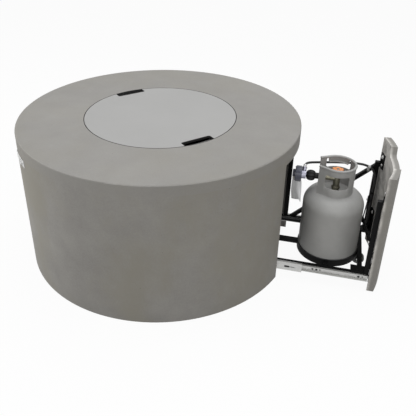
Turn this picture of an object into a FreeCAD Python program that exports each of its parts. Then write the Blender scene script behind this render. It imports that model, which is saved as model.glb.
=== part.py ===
import FreeCAD
import Part
import Sketcher
import math
import os
from types import SimpleNamespace

# Round concrete fire pit table with a pull-out drawer for its gas bottle.
# The origin is on the floor at the table's axis, +X is the way the drawer pulls out and +Z is up.
# The drawer stands open by its full travel, pull. Drawer places are given as if it were shut.

# Driving dimensions in millimetres, and turns in degrees.
sizes = {
    # drum
    "table_radius": 560.0,
    "table_height": 575.0,
    "slab": 42.0,
    "rim_round": 4.0,
    "wall": 25.0,
    "doorway_half": 180.0,
    "lintel": 20.0,
    "ledge_width": 20.0,
    # lid
    "lid_radius": 302.0,
    "lid_sheet": 10.0,
    "lid_gap": 2.0,
    "pad_sheet": 1.5,
    "pad_radius": 9.0,
    "slot_width": 125.0,
    "slot_depth": 38.0,
    "slot_round": 8.0,
    "slot_turn": -43.5,
    # burner
    "pan_sheet": 2.0,
    "pan_depth": 60.0,
    "pan_play": 1.0,
    "burner_ring_radius": 150.0,
    "burner_pipe": 9.5,
    "burner_lift": 11.0,
    "burner_hub": 16.0,
    "feed_radius": 8.0,
    "feed_drop": 72.0,
    "nut_radius": 16.0,
    "nut_height": 6.0,
    "mixer_radius": 13.0,
    "mixer_height": 56.0,
    "mixer_port": 4.0,
    "electrode_radius": 3.5,
    "electrode_y": 182.0,
    "electrode_drop": 22.0,
    "electrode_length": 58.0,
    # control panel
    "plate_turn": -137.0,
    "plate_width": 106.0,
    "plate_height": 30.0,
    "plate_sheet": 1.5,
    "plate_drop": 16.0,
    "plate_play": 0.1,
    "key_offset": 26.0,
    "key_radius": 9.0,
    "key_square": 8.0,
    "key_depth": 12.0,
    "button_radius": 10.0,
    "button_travel": 4.0,
    "button_proud": 4.4,
    "control_depth": 52.0,
    "control_radius": 16.0,
    "running_play": 0.05,
    "bore_play": 2.0,
    # telescopic slides
    "pull": 380.0,
    "slide_face": 179.0,
    "slide_inset": 473.0,
    "slide_length": 440.0,
    "slide_mid_length": 377.0,
    "slide_axis": 61.0,
    "slide_outer_height": 46.0,
    "slide_mid_height": 38.0,
    "slide_inner_height": 27.0,
    "slide_depth": 12.7,
    "slide_sheet": 1.2,
    "slide_play": 0.4,
    "slide_lip": 2.4,
    # bearers on the floor of the drum
    "bearer_sheet": 3.0,
    "bearer_height": 88.0,
    "bearer_foot": 40.0,
    "tie_width": 50.0,
    "tie_sheet": 5.0,
    "rear_tie": -160.0,
    "seat_play": 0.2,
    "inlet_y": 116.0,
    "inlet_height": 78.0,
    "inlet_reach": 22.0,
    "pipe_radius": 4.0,
    "pipe_lead": 44.0,
    "pipe_drop": 40.0,
    "riser_run": 62.0,
    # drawer frame
    "tube": 18.0,
    "frame_floor": 56.5,
    "frame_inset": 427.0,
    "upright_offset": 29.0,
    "bracket_reach": 4.5,
    "upright_top": 405.0,
    "gusset_sheet": 4.0,
    "gusset_length": 69.0,
    "gusset_width": 46.0,
    "brace_width": 14.0,
    "brace_drop": 12.0,
    # door
    "door_gap": 4.0,
    "door_floor": 6.0,
    "door_notch_half": 92.0,
    "door_notch_depth": 40.0,
    "door_notch_round": 16.0,
    "door_notch_lean": 6.0,
    "bracket_sheet": 4.0,
    "bracket_width": 34.0,
    "bracket_inset": 2.0,
    "upper_bracket_low": 382.0,
    "upper_bracket_height": 64.0,
    "lower_bracket_low": 40.0,
    "lower_bracket_height": 142.0,
    "bolt_radius": 3.0,
    "bolt_head": 5.5,
    "bolt_head_height": 4.0,
    "bolt_depth": 16.0,
    "bolt_inset": 14.0,
    # bottle cradle
    "bottle_inset": 197.0,
    "ring_radius": 124.0,
    "ring_sheet": 3.5,
    "ring_floor": 52.0,
    "ring_height": 30.0,
    "tray_width": 30.0,
    "tray_sheet": 3.0,
    "strap_low": 208.0,
    "strap_height": 26.0,
    "strap_sheet": 3.0,
    "strap_gap": 2.0,
    # gas bottle
    "bottle_radius": 120.0,
    "bottle_sheet": 2.5,
    "bottle_body_low": 60.0,
    "bottle_body_top": 336.0,
    "shoulder": 58.0,
    "heel": 24.0,
    "foot_radius": 100.0,
    "foot_sheet": 3.0,
    "collar_radius": 67.0,
    "collar_sheet": 3.0,
    "collar_top": 453.0,
    "collar_bead": 5.0,
    "window_half": 46.0,
    "window_low": 372.0,
    "window_high": 426.0,
    "handle_half": 48.0,
    "handle_low": 408.0,
    "handle_high": 441.0,
    "port_half": 28.0,
    "window_round": 10.0,
    # valve and regulator
    "outlet_height": 389.0,
    "outlet_radius": 10.5,
    "outlet_reach": 62.0,
    "valve_radius": 13.0,
    "valve_rise": 22.0,
    "stem_radius": 4.0,
    "stem_rise": 21.5,
    "wheel_radius": 23.0,
    "wheel_height": 17.0,
    "wheel_lobe": 6.0,
    "tail_radius": 7.0,
    "coupling_radius": 24.0,
    "coupling_length": 44.0,
    "coupling_flute": 5.0,
    "neck_radius": 12.0,
    "regulator_radius": 32.0,
    "regulator_lead": 162.0,
    "regulator_length": 26.0,
    "regulator_lip": 3.0,
    "bonnet_radius": 18.0,
    "bonnet_length": 16.0,
    "cap_radius": 15.0,
    "cap_length": 10.0,
    "spout_radius": 7.5,
    "spout_rise": 20.5,
    "spout_reach": 22.0,
    "hose_radius": 4.75,
    "clip_sheet": 1.5,
    "clip_width": 8.0,
    "tag_width": 44.0,
    "tag_length": 94.0,
    "tag_neck": 10.0,
    "tag_sheet": 1.2,
    "tag_bend": 70.0,
    # roller
    "roller_radius": 25.0,
    "roller_width": 18.0,
    "roller_lift": 0.5,
    "roller_chamfer": 2.0,
    "axle_radius": 4.0,
    "fork_sheet": 3.0,
    "fork_play": 1.0,
    "fork_width": 17.0,
}

doc = FreeCAD.newDocument("fire_pit_table")
sheet = doc.addObject("Spreadsheet::Sheet", "sizes")
for row, (alias, amount) in enumerate(sizes.items(), start=1):
    sheet.set(f"A{row}", alias)
    sheet.set(f"B{row}", str(amount))
    sheet.setAlias(f"B{row}", alias)
doc.recompute()

pieces = []
upright = FreeCAD.Rotation()
along = {
    "x": FreeCAD.Rotation(FreeCAD.Vector(0, 1, 0), 90),
    "y": FreeCAD.Rotation(FreeCAD.Vector(1, 0, 0), -90),
    "z": upright,
}


# A number together with the sheet formula that gives it.
class Size:
    def __init__(self, value, formula):
        self.value = value
        self.formula = formula

    def __add__(self, other):
        return Size(self.value + number(other), f"({self.formula} + {text(other)})")

    def __sub__(self, other):
        return Size(self.value - number(other), f"({self.formula} - {text(other)})")

    def __mul__(self, other):
        return Size(self.value * number(other), f"({self.formula} * {text(other)})")

    def __truediv__(self, other):
        return Size(self.value / number(other), f"({self.formula} / {text(other)})")

    def __rsub__(self, other):
        return Size(number(other) - self.value, f"({text(other)} - {self.formula})")

    def __neg__(self):
        return Size(-self.value, f"(0 - {self.formula})")

    __radd__ = __add__
    __rmul__ = __mul__


def number(amount):
    return amount.value if isinstance(amount, Size) else float(amount)


def text(amount):
    return amount.formula if isinstance(amount, Size) else repr(float(amount))


def root(amount):
    return Size(math.sqrt(amount.value), f"sqrt({amount.formula})")


# The other leg of a right triangle, as for a point at a height on an arc.
def leg(long_side, short_side):
    return root(long_side * long_side - short_side * short_side)


dim = SimpleNamespace(**{alias: Size(amount, f"sizes.{alias}") for alias, amount in sizes.items()})


def bind(item, **fields):
    for field, amount in fields.items():
        item.setExpression(field, text(amount))
    return item


def place(item, x, y, z, turn=upright):
    item.Placement = FreeCAD.Placement(FreeCAD.Vector(number(x), number(y), number(z)), turn)
    for axis, amount in zip("xyz", (x, y, z)):
        item.setExpression(f"Placement.Base.{axis}", text(amount))
    return item


# Turns a finished piece about the table's axis.
def swing(item, degrees):
    turn = FreeCAD.Rotation(FreeCAD.Vector(0, 0, 1), number(degrees))
    item.Placement = FreeCAD.Placement(FreeCAD.Vector(), turn)
    item.setExpression("Placement.Rotation.Angle", text(degrees))
    return item


def piece(item):
    pieces.append(item)
    return item


def box(name, low, high):
    length, width, height = [end - start for start, end in zip(low, high)]
    item = bind(doc.addObject("Part::Box", name), Length=length, Width=width, Height=height)
    return place(item, *low)


def rod(name, radius, start, length, direction="z"):
    item = bind(doc.addObject("Part::Cylinder", name), Radius=radius, Height=length)
    return place(item, *start, along[direction])


def hexagon(name, radius, start, height, direction="z"):
    item = bind(doc.addObject("Part::Prism", name), Circumradius=radius, Height=height)
    return place(item, *start, along[direction])


def fuse(name, *items):
    item = doc.addObject("Part::MultiFuse", name)
    item.Shapes = list(items)
    return item


def group(name, items):
    item = doc.addObject("Part::Compound", name)
    item.Links = list(items)
    return item


def cut(name, base, *tools):
    item = doc.addObject("Part::Cut", name)
    item.Base = base
    item.Tool = tools[0] if len(tools) == 1 else fuse(f"{name}_tools", *tools)
    return item


def common(name, *items):
    item = doc.addObject("Part::MultiCommon", name)
    item.Shapes = list(items)
    return item


def pipe(name, outer, inner, start, length, direction="z"):
    return cut(
        name,
        rod(f"{name}_outside", outer, start, length, direction),
        rod(f"{name}_bore", inner, start, length, direction),
    )


# A sketch on one of the body's own planes, as a closed run of straight sides.
def outline(body, name, role, points):
    sketch = body.newObject("Sketcher::SketchObject", name)
    plane = next(item for item in body.Origin.OriginFeatures if item.Role == role)
    sketch.AttachmentSupport = [(plane, "")]
    sketch.MapMode = "FlatFace"
    corners = [FreeCAD.Vector(number(across), number(up), 0) for across, up in points]
    count = len(corners)
    for index, corner in enumerate(corners):
        sketch.addGeometry(Part.LineSegment(corner, corners[(index + 1) % count]), False)
    for index in range(count):
        sketch.addConstraint(Sketcher.Constraint("Coincident", index, 2, (index + 1) % count, 1))
    for index, place_in_plane in enumerate(points):
        for kind, axis, amount in zip(("DistanceX", "DistanceY"), (-2, -1), place_in_plane):
            if number(amount) == 0.0:
                sketch.addConstraint(Sketcher.Constraint("PointOnObject", index, 1, axis))
                continue
            spot = sketch.addConstraint(Sketcher.Constraint(kind, -1, 1, index, 1, number(amount)))
            sketch.setExpression(f"Constraints[{spot}]", text(amount))
    return sketch


def turned_body(name, points):
    body = doc.addObject("PartDesign::Body", name)
    turning = body.newObject("PartDesign::Revolution", f"{name}_turning")
    turning.Profile = outline(body, f"{name}_section", "XZ_Plane", points)
    turning.ReferenceAxis = (turning.Profile[0], ["V_Axis"])
    turning.Angle = 360.0
    return body


def padded_body(name, role, points, length):
    body = doc.addObject("PartDesign::Body", name)
    pad = body.newObject("PartDesign::Pad", f"{name}_pad")
    pad.Profile = outline(body, f"{name}_section", role, points)
    bind(pad, Length=length)
    return body


# Rounds the edges of a body that pass a test, as they lie in the body's own axes.
def soften(body, name, radius, test):
    doc.recompute()
    edges = body.Tip.Shape.Edges
    names = [f"Edge{index}" for index, edge in enumerate(edges, start=1) if test(edge)]
    rounding = body.newObject("PartDesign::Fillet", name)
    rounding.Base = (body.Tip if body.Tip != rounding else rounding.BaseFeature, names)
    bind(rounding, Radius=radius)
    return body


def circle_at(edge, radius, height):
    curve = edge.Curve
    if not isinstance(curve, Part.Circle):
        return False
    return abs(curve.Radius - radius) < 0.01 and abs(curve.Center.z - height) < 0.01


# A round tube whose path is straight runs joined by tangent arcs, each as large as its runs allow.
def bent_tube(name, radius, spots):
    points = [FreeCAD.Vector(*[number(part) for part in spot]) for spot in spots]
    edges = []
    radii = []
    here = points[0]
    for before, corner, after in zip(points, points[1:], points[2:]):
        back = (before - corner).normalize()
        onward = (after - corner).normalize()
        half_turn = (math.pi - back.getAngle(onward)) / 2
        reach = 0.45 * min((before - corner).Length, (after - corner).Length)
        radii.append(reach / math.tan(half_turn))
        middle = (back + onward).normalize()
        inward = radii[-1] / math.cos(half_turn) - radii[-1]
        arc_start = corner + back * reach
        arc_end = corner + onward * reach
        edges.append(Part.LineSegment(here, arc_start).toShape())
        edges.append(Part.Arc(arc_start, corner + middle * inward, arc_end).toShape())
        here = arc_end
    edges.append(Part.LineSegment(here, points[-1]).toShape())
    path = Part.Wire(edges)
    section = Part.Wire([Part.Circle(points[0], points[1] - points[0], number(radius)).toShape()])
    item = doc.addObject("Part::Feature", name)
    item.Shape = path.makePipeShell([section], True, False)
    share = item.Shape.Volume / (math.pi * number(radius) ** 2 * path.Length)
    print(f"{name}: smallest bend {min(radii):.0f}, volume {share:.4f} of run")
    return item


# Heights that several pieces share.
slab_low = dim.table_height - dim.slab
ledge = dim.table_height - dim.lid_sheet - dim.pad_sheet - dim.pan_sheet
lid_low = dim.table_height - dim.lid_sheet
pan_low = ledge - dim.pan_depth
inner_radius = dim.table_radius - dim.wall
opening_radius = dim.lid_radius - dim.ledge_width
pad_ring = dim.lid_radius - dim.ledge_width / 2
door_head = slab_low - dim.lintel
frame_top = dim.frame_floor + dim.tube
rail_face = dim.slide_face - dim.slide_depth
rail_inner = rail_face - dim.tube
frame_front = leg(inner_radius, rail_face) - dim.bracket_reach
gusset_top = frame_top + dim.gusset_sheet

# Places along the pull, with the drawer shut, from the inside of the wall; heights from the bottle's outlet.
slide_rear = inner_radius - dim.slide_inset
frame_rear = inner_radius - dim.frame_inset
bottle_x = inner_radius - dim.bottle_inset
regulator_start = bottle_x - dim.regulator_lead
coupling_start = regulator_start + dim.regulator_length + dim.bonnet_length + dim.slide_play
spout_height = dim.outlet_height + dim.spout_rise
valve_top = dim.outlet_height + dim.valve_rise
stem_top = valve_top + dim.stem_rise


# Concrete top with a rebate for the lid and the burner pan
def make_top_slab():
    rebate = dim.lid_radius + dim.lid_gap
    slab = turned_body("top_slab", [
        (opening_radius, slab_low),
        (dim.table_radius, slab_low),
        (dim.table_radius, dim.table_height),
        (rebate, dim.table_height),
        (rebate, ledge),
        (opening_radius, ledge),
    ])
    rim = number(dim.table_radius)
    soften(slab, "top_slab_rim", dim.rim_round, lambda edge: circle_at(edge, rim, number(dim.table_height)))
    piece(slab)


# Concrete wall, open at the front for the drawer and bored for the two controls
def make_side_wall():
    ring = pipe("wall_ring", dim.table_radius, inner_radius, (0, 0, 0), slab_low)
    doorway = box("doorway", (0, -dim.doorway_half, 0), (dim.table_radius, dim.doorway_half, door_head))
    start = inner_radius - dim.wall
    length = dim.wall * 3
    key_spot = (start, -dim.key_offset, plate_axis)
    button_spot = (start, dim.key_offset, plate_axis)
    key_bore = rod("key_bore", dim.key_radius + dim.bore_play, key_spot, length, "x")
    button_bore = rod("button_bore", dim.button_radius + dim.bore_play, button_spot, length, "x")
    bores = swing(group("control_bores", [key_bore, button_bore]), dim.plate_turn)
    piece(cut("side_wall", ring, doorway, bores))


# Lift-out lid with two hand slots in its rim
def make_lid():
    lid = doc.addObject("PartDesign::Body", "lid_plate")
    disc = lid.newObject("Sketcher::SketchObject", "lid_disc")
    plane = next(item for item in lid.Origin.OriginFeatures if item.Role == "XY_Plane")
    disc.AttachmentSupport = [(plane, "")]
    disc.MapMode = "FlatFace"
    disc.addGeometry(Part.Circle(FreeCAD.Vector(), FreeCAD.Vector(0, 0, 1), number(dim.lid_radius)), False)
    disc.addConstraint(Sketcher.Constraint("Coincident", 0, 3, -1, 1))
    radius = disc.addConstraint(Sketcher.Constraint("Radius", 0, number(dim.lid_radius)))
    disc.setExpression(f"Constraints[{radius}]", text(dim.lid_radius))
    sheet_pad = lid.newObject("PartDesign::Pad", "lid_sheet_pad")
    sheet_pad.Profile = disc
    bind(sheet_pad, Length=dim.lid_sheet)
    half = dim.slot_width / 2
    slot_start = dim.lid_radius - dim.slot_depth
    slot_end = dim.lid_radius + dim.slot_depth
    slot = lid.newObject("PartDesign::Pocket", "lid_slot")
    slot.Profile = outline(lid, "lid_slot_section", "XY_Plane", [
        (slot_start, -half), (slot_end, -half), (slot_end, half), (slot_start, half),
    ])
    slot.Type = "ThroughAll"
    slot.Reversed = True
    slots = lid.newObject("PartDesign::PolarPattern", "lid_slots")
    slots.Originals = [slot]
    slots.Axis = (slot.Profile[0], ["N_Axis"])
    slots.Angle = 360.0
    slots.Occurrences = 2
    lid.Tip = slots
    inside = number(slot_start) + 1.0

    def slot_corner(edge):
        ends = [vertex.Point for vertex in edge.Vertexes]
        if len(ends) != 2 or abs(ends[0].z - ends[1].z) < 1.0:
            return False
        return abs(ends[0].x) < inside

    soften(lid, "lid_slot_rounding", dim.slot_round, slot_corner)
    place(lid, 0, 0, lid_low, FreeCAD.Rotation(FreeCAD.Vector(0, 0, 1), number(dim.slot_turn)))
    lid.setExpression("Placement.Rotation.Angle", text(dim.slot_turn))
    piece(lid)
    pads = []
    for index, (across, away) in enumerate(((1, 0), (0, 1), (-1, 0), (0, -1)), start=1):
        spot = (pad_ring * across, pad_ring * away, lid_low - dim.pad_sheet)
        pads.append(rod(f"lid_pad_{index}", dim.pad_radius, spot, dim.pad_sheet))
    piece(group("lid_pads", pads))


# Burner pan hung in the rebate, its ring burner, feed pipe and air mixer
def make_burner():
    pan_outside = opening_radius - dim.pan_play
    pan_inside = pan_outside - dim.pan_sheet
    flange = dim.lid_radius + dim.lid_gap - dim.pan_play
    hole = dim.feed_radius + dim.pan_play
    floor_top = pan_low + dim.pan_sheet
    pan = turned_body("pan_shell", [
        (hole, pan_low), (pan_outside, pan_low), (pan_outside, ledge), (flange, ledge),
        (flange, ledge + dim.pan_sheet), (pan_inside, ledge + dim.pan_sheet), (pan_inside, floor_top),
        (hole, floor_top),
    ])
    spark_spot = (0, dim.electrode_y, pan_low - dim.electrode_drop)
    electrode_hole = rod("electrode_hole", dim.electrode_radius, (0, dim.electrode_y, pan_low), dim.pan_depth)
    piece(cut("burner_pan", pan, electrode_hole))
    piece(rod("spark_electrode", dim.electrode_radius, spark_spot, dim.electrode_length))
    nuts = []
    for name, low in (("upper_pan_nut", floor_top), ("lower_pan_nut", pan_low - dim.nut_height)):
        nut = hexagon(f"{name}_blank", dim.nut_radius, (0, 0, low), dim.nut_height)
        nuts.append(cut(name, nut, rod(f"{name}_bore", dim.feed_radius, (0, 0, low), dim.nut_height)))
    piece(group("pan_nuts", nuts))
    hub_low = floor_top + dim.nut_height
    axis = hub_low + dim.burner_lift
    loop = dim.burner_ring_radius
    ring = bind(doc.addObject("Part::Torus", "burner_loop"), Radius1=loop, Radius2=dim.burner_pipe)
    place(ring, 0, 0, axis)
    spoke = rod("burner_spoke", dim.burner_pipe, (0, -loop, axis), loop * 2, "y")
    hub = rod("burner_hub_block", dim.burner_hub, (0, 0, hub_low), dim.burner_lift * 2)
    piece(fuse("burner_ring", ring, spoke, hub))
    feed_low = hub_low - dim.feed_drop
    piece(rod("burner_feed", dim.feed_radius, (0, 0, feed_low), dim.feed_drop))
    mixer = rod("mixer_blank", dim.mixer_radius, (0, 0, feed_low - dim.mixer_height), dim.mixer_height)
    port_height = feed_low - dim.mixer_height / 3
    ports = rod("mixer_ports", dim.mixer_port, (0, -dim.mixer_radius, port_height), dim.mixer_radius * 2, "y")
    piece(cut("air_mixer", mixer, ports))
    return feed_low - dim.mixer_height


# Steel plate on the wall with a flush key valve and an igniter button
plate_axis = slab_low - dim.plate_drop - dim.plate_height / 4
valve_face = leg(inner_radius, dim.key_offset + dim.control_radius) - dim.seat_play
valve_start = valve_face - dim.control_depth


def make_controls():
    face = dim.table_radius + dim.plate_play
    outside = face + dim.plate_sheet
    low = plate_axis - dim.plate_height / 2
    half = dim.plate_width / 2
    band = pipe("plate_band", outside, face, (0, 0, low), dim.plate_height)
    window = box("plate_window", (0, -half, low), (outside, half, low + dim.plate_height))
    key_spot = (inner_radius, -dim.key_offset, plate_axis)
    button_spot = (inner_radius, dim.key_offset, plate_axis)
    key_hole = rod("plate_key_hole", dim.key_radius + dim.running_play, key_spot, dim.wall * 2, "x")
    button_bore = dim.button_radius + dim.running_play
    button_hole = rod("plate_button_hole", button_bore, button_spot, dim.wall * 2, "x")
    holes = fuse("plate_holes", key_hole, button_hole)
    piece(swing(cut("control_plate", common("plate_strip", band, window), holes), dim.plate_turn))
    # The valve and the igniter stand behind the wall on their own flanges.
    valve = rod("control_valve_blank", dim.control_radius, (valve_start, -dim.key_offset, plate_axis),
                dim.control_depth, "x")
    piece(swing(group("control_valve", [valve]), dim.plate_turn))
    igniter = rod("igniter_blank", dim.control_radius, (valve_start, dim.key_offset, plate_axis),
                  dim.control_depth, "x")
    piece(swing(group("igniter_unit", [igniter]), dim.plate_turn))
    key_start = valve_face + dim.seat_play
    key_end = leg(dim.table_radius, dim.key_offset)
    shoulder_end = key_end - dim.key_depth
    shank = rod("key_shank", dim.key_radius, (key_start, -dim.key_offset, plate_axis),
                shoulder_end - key_start, "x")
    square = dim.key_square / 2
    stud = box("key_square_stud", (shoulder_end, -dim.key_offset - square, plate_axis - square),
               (key_end, square - dim.key_offset, plate_axis + square))
    piece(swing(fuse("key_spindle", shank, stud), dim.plate_turn))
    button_start = valve_face + dim.button_travel + dim.seat_play
    button_end = outside + dim.button_proud
    button = rod("button_stem", dim.button_radius, (button_start, dim.key_offset, plate_axis),
                 button_end - button_start, "x")
    piece(swing(group("igniter_button", [button]), dim.plate_turn))


# Steel angles on the floor that carry the slides, and the flat bars between them
def make_bearers():
    reach = inner_radius - dim.seat_play
    for side, sign in (("near", -1), ("far", 1)):
        inside = dim.slide_face
        outside = inside + dim.bearer_sheet
        toe = inside + dim.bearer_foot
        web_y = sorted((inside * sign, outside * sign), key=number)
        foot_y = sorted((inside * sign, toe * sign), key=number)
        web = box(f"bearer_{side}_web", (-reach, web_y[0], dim.tie_sheet),
                  (reach, web_y[1], dim.bearer_height))
        foot = box(f"bearer_{side}_foot", (-reach, foot_y[0], dim.tie_sheet),
                   (reach, foot_y[1], dim.tie_sheet + dim.bearer_sheet))
        drum = rod(f"bearer_{side}_drum", reach, (0, 0, 0), dim.bearer_height)
        piece(common(f"bearer_{side}", fuse(f"bearer_{side}_angle", web, foot), drum))
    half = dim.tie_width / 2
    end = dim.slide_face + dim.bearer_foot
    ties = [
        box(name, (middle - half, -end, 0), (middle + half, end, dim.tie_sheet))
        for name, middle in (("centre_tie", 0), ("rear_tie_bar", dim.rear_tie))
    ]
    piece(group("floor_ties", ties))


# One rolled member of a telescopic slide: a channel whose edges turn in over the ball track
def slide_member(name, side, face, depth, height, start, length, faces_out):
    sheet_in = dim.slide_sheet
    lip = dim.slide_lip
    section = [
        (0, 0), (depth, 0), (depth, lip), (depth - sheet_in, lip), (depth - sheet_in, sheet_in),
        (sheet_in, sheet_in), (sheet_in, height - sheet_in), (depth - sheet_in, height - sheet_in),
        (depth - sheet_in, height - lip), (depth, height - lip), (depth, height), (0, height),
    ]
    member = padded_body(name, "YZ_Plane", section, length)
    flip = (side == "far") != faces_out
    low = dim.slide_axis - height / 2
    turn = FreeCAD.Rotation(FreeCAD.Vector(1, 0, 0), 180) if flip else upright
    return place(member, start, face if side == "far" else -face, low + height if flip else low, turn)


def make_slides():
    mid_face = dim.slide_face - dim.slide_sheet - dim.slide_play
    mid_depth = dim.slide_depth - dim.slide_sheet * 2 - dim.slide_play * 2
    inner_depth = mid_depth - dim.slide_play * 2
    outer_depth = dim.slide_depth - dim.slide_sheet
    sides = ("near", "far")
    piece(group("outer_slides", [
        slide_member(f"outer_slide_{side}", side, dim.slide_face, outer_depth, dim.slide_outer_height,
                     slide_rear, dim.slide_length, False)
        for side in sides
    ]))
    piece(group("mid_slides", [
        slide_member(f"mid_slide_{side}", side, mid_face, mid_depth, dim.slide_mid_height,
                     slide_rear + dim.pull / 2, dim.slide_mid_length, False)
        for side in sides
    ]))
    piece(group("inner_slides", [
        slide_member(f"inner_slide_{side}", side, rail_face, inner_depth, dim.slide_inner_height,
                     slide_rear + dim.pull, dim.slide_length, True)
        for side in sides
    ]))


# Welded drawer frame of square tube
def make_frame():
    rear = frame_rear + dim.pull
    front = frame_front + dim.pull
    upright_rear = front - dim.tube
    cross_front = bottle_x + dim.ring_radius + dim.pull
    gusset_rear = front - dim.gusset_length
    gussets = []
    for side, sign in (("near", -1), ("far", 1)):
        low_y, high_y = sorted((rail_face * sign, rail_inner * sign), key=number)
        piece(box(f"rail_{side}", (rear, low_y, dim.frame_floor), (front, high_y, frame_top)))
        plate_y = sorted((rail_face * sign, (rail_face - dim.gusset_width) * sign), key=number)
        gussets.append(box(f"corner_gusset_{side}", (gusset_rear, plate_y[0], frame_top),
                           (front, plate_y[1], gusset_top)))
        piece(box(f"front_upright_{side}", (upright_rear, low_y, gusset_top),
                  (front, high_y, dim.upright_top)))
    piece(group("corner_gussets", gussets))
    upright_x = rear + dim.upright_offset
    piece(box("rear_rail", (rear, -rail_inner, dim.frame_floor), (rear + dim.tube, rail_inner, frame_top)))
    piece(box("front_rail", (cross_front, -rail_inner, dim.frame_floor),
              (cross_front + dim.tube, rail_inner, frame_top)))
    piece(box("rear_upright", (upright_x, rail_inner, frame_top),
              (upright_x + dim.tube, rail_face, dim.upright_top)))
    # Bars that carry the bottle ring, hollowed to its curve
    ring_axis = bottle_x + dim.pull
    half = dim.tube / 2
    low = dim.frame_floor
    stubs = {
        "centre_rail": ((rear + dim.tube, -half, low), (ring_axis, half, frame_top)),
        "ring_stub_near": ((ring_axis - half, -rail_inner, low), (ring_axis + half, 0, frame_top)),
        "ring_stub_far": ((ring_axis - half, 0, low), (ring_axis + half, rail_inner, frame_top)),
    }
    bars = {}
    for name, (start, end) in stubs.items():
        ring_space = rod(f"{name}_hollow", dim.ring_radius, (ring_axis, 0, low), dim.tube)
        bars[name] = cut(name, box(f"{name}_bar", start, end), ring_space)
    piece(bars.pop("centre_rail"))
    piece(group("ring_stubs", bars.values()))
    # Diagonal brace from the rear foot to the head of the far front upright
    foot_x = upright_x + dim.tube
    run = upright_rear - foot_x
    rise = dim.upright_top - dim.brace_drop - frame_top
    span = root(run * run + rise * rise)
    foot_width = dim.brace_width * span / rise
    head_width = foot_width * rise / run
    brace = padded_body("brace_far", "XZ_Plane", [
        (foot_x, frame_top), (foot_x + foot_width, frame_top),
        (upright_rear, frame_top + rise - head_width), (upright_rear, frame_top + rise),
    ], dim.tube)
    place(brace, 0, rail_face, 0)
    piece(brace)


# Curved concrete door cut from the drum, with a hand notch in its top edge
def make_door():
    width = dim.doorway_half - dim.door_gap
    height = door_head - dim.door_gap - dim.door_floor
    ring = pipe("door_ring", dim.table_radius, inner_radius, (dim.pull, 0, dim.door_floor), height)
    block = box("door_block", (dim.pull, -width, dim.door_floor),
                (dim.pull + dim.table_radius, width, dim.door_floor + height))
    top = dim.door_floor + height
    notch_low = top - dim.door_notch_depth
    floor_half = dim.door_notch_half - dim.door_notch_lean
    side = dim.door_notch_half + dim.door_notch_lean
    notch = padded_body("door_notch", "YZ_Plane", [
        (-floor_half, notch_low), (floor_half, notch_low),
        (side, top + dim.door_notch_depth), (-side, top + dim.door_notch_depth),
    ], dim.table_radius)
    low = number(notch_low)

    def notch_corner(edge):
        start, end = [vertex.Point for vertex in edge.Vertexes]
        return abs(start.z - low) < 0.01 and abs(end.z - low) < 0.01 and abs(start.y - end.y) < 0.01

    soften(notch, "door_notch_rounding", dim.door_notch_round, notch_corner)
    place(notch, dim.pull, 0, 0)
    piece(cut("door_panel", common("door_blank", ring, block), notch, make_door_bolts()))


# Brackets between the uprights and the door, and the bolts that hold them
def make_brackets():
    front = frame_front + dim.pull
    flange_face = inner_radius - dim.bracket_sheet
    heights = {
        "upper": (dim.upper_bracket_low, dim.upper_bracket_height),
        "lower": (dim.lower_bracket_low, dim.lower_bracket_height),
    }
    for level, (low, height) in heights.items():
        pair = []
        for side, sign in (("near", -1), ("far", 1)):
            name = f"door_bracket_{level}_{side}"
            outer_y = rail_face - dim.bracket_inset
            edge_y = sorted((outer_y * sign, (outer_y - dim.bracket_width) * sign), key=number)
            band = pipe(f"{name}_band", inner_radius, flange_face, (dim.pull, 0, low), height)
            window = box(f"{name}_window", (dim.pull, edge_y[0], low),
                         (dim.pull + inner_radius, edge_y[1], low + height))
            flange = common(f"{name}_flange", band, window)
            arm_y = sorted((rail_inner * sign, (rail_face - dim.bracket_inset) * sign), key=number)
            middle = low + height / 2
            arm = common(
                f"{name}_arm",
                box(f"{name}_arm_bar", (front, arm_y[0], middle - dim.tube / 2),
                    (dim.pull + inner_radius, arm_y[1], middle + dim.tube / 2)),
                rod(f"{name}_arm_end", inner_radius, (dim.pull, 0, low), height),
            )
            holes = bolt_holes(name, sign, low, height)
            pair.append(cut(name, fuse(f"{name}_weldment", flange, arm), holes))
        piece(group(f"{level}_door_brackets", pair))


# The turn about the drum's axis that puts a bolt in the middle of its flange
def bolt_turn(sign):
    middle = rail_face - dim.bracket_inset - dim.bracket_width / 2
    angle = math.degrees(math.asin(number(middle) / number(inner_radius)))
    return Size(angle * sign, f"{sign} * asin({text(middle)} / {text(inner_radius)}) / 1deg")


def bolt_rows(low, height):
    return (low + dim.bolt_inset, low + height - dim.bolt_inset)


def radial_group(name, items, sign):
    turned = group(name, items)
    turn = bolt_turn(sign)
    place(turned, dim.pull, 0, 0, FreeCAD.Rotation(FreeCAD.Vector(0, 0, 1), turn.value))
    turned.setExpression("Placement.Rotation.Angle", turn.formula)
    return turned


def bolt_holes(name, sign, low, height):
    start = inner_radius - dim.bracket_sheet * 2
    rods = [
        rod(f"{name}_hole_{index}", dim.bolt_radius, (start, 0, row), dim.bolt_depth, "x")
        for index, row in enumerate(bolt_rows(low, height), start=1)
    ]
    return radial_group(f"{name}_holes", rods, sign)


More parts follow.
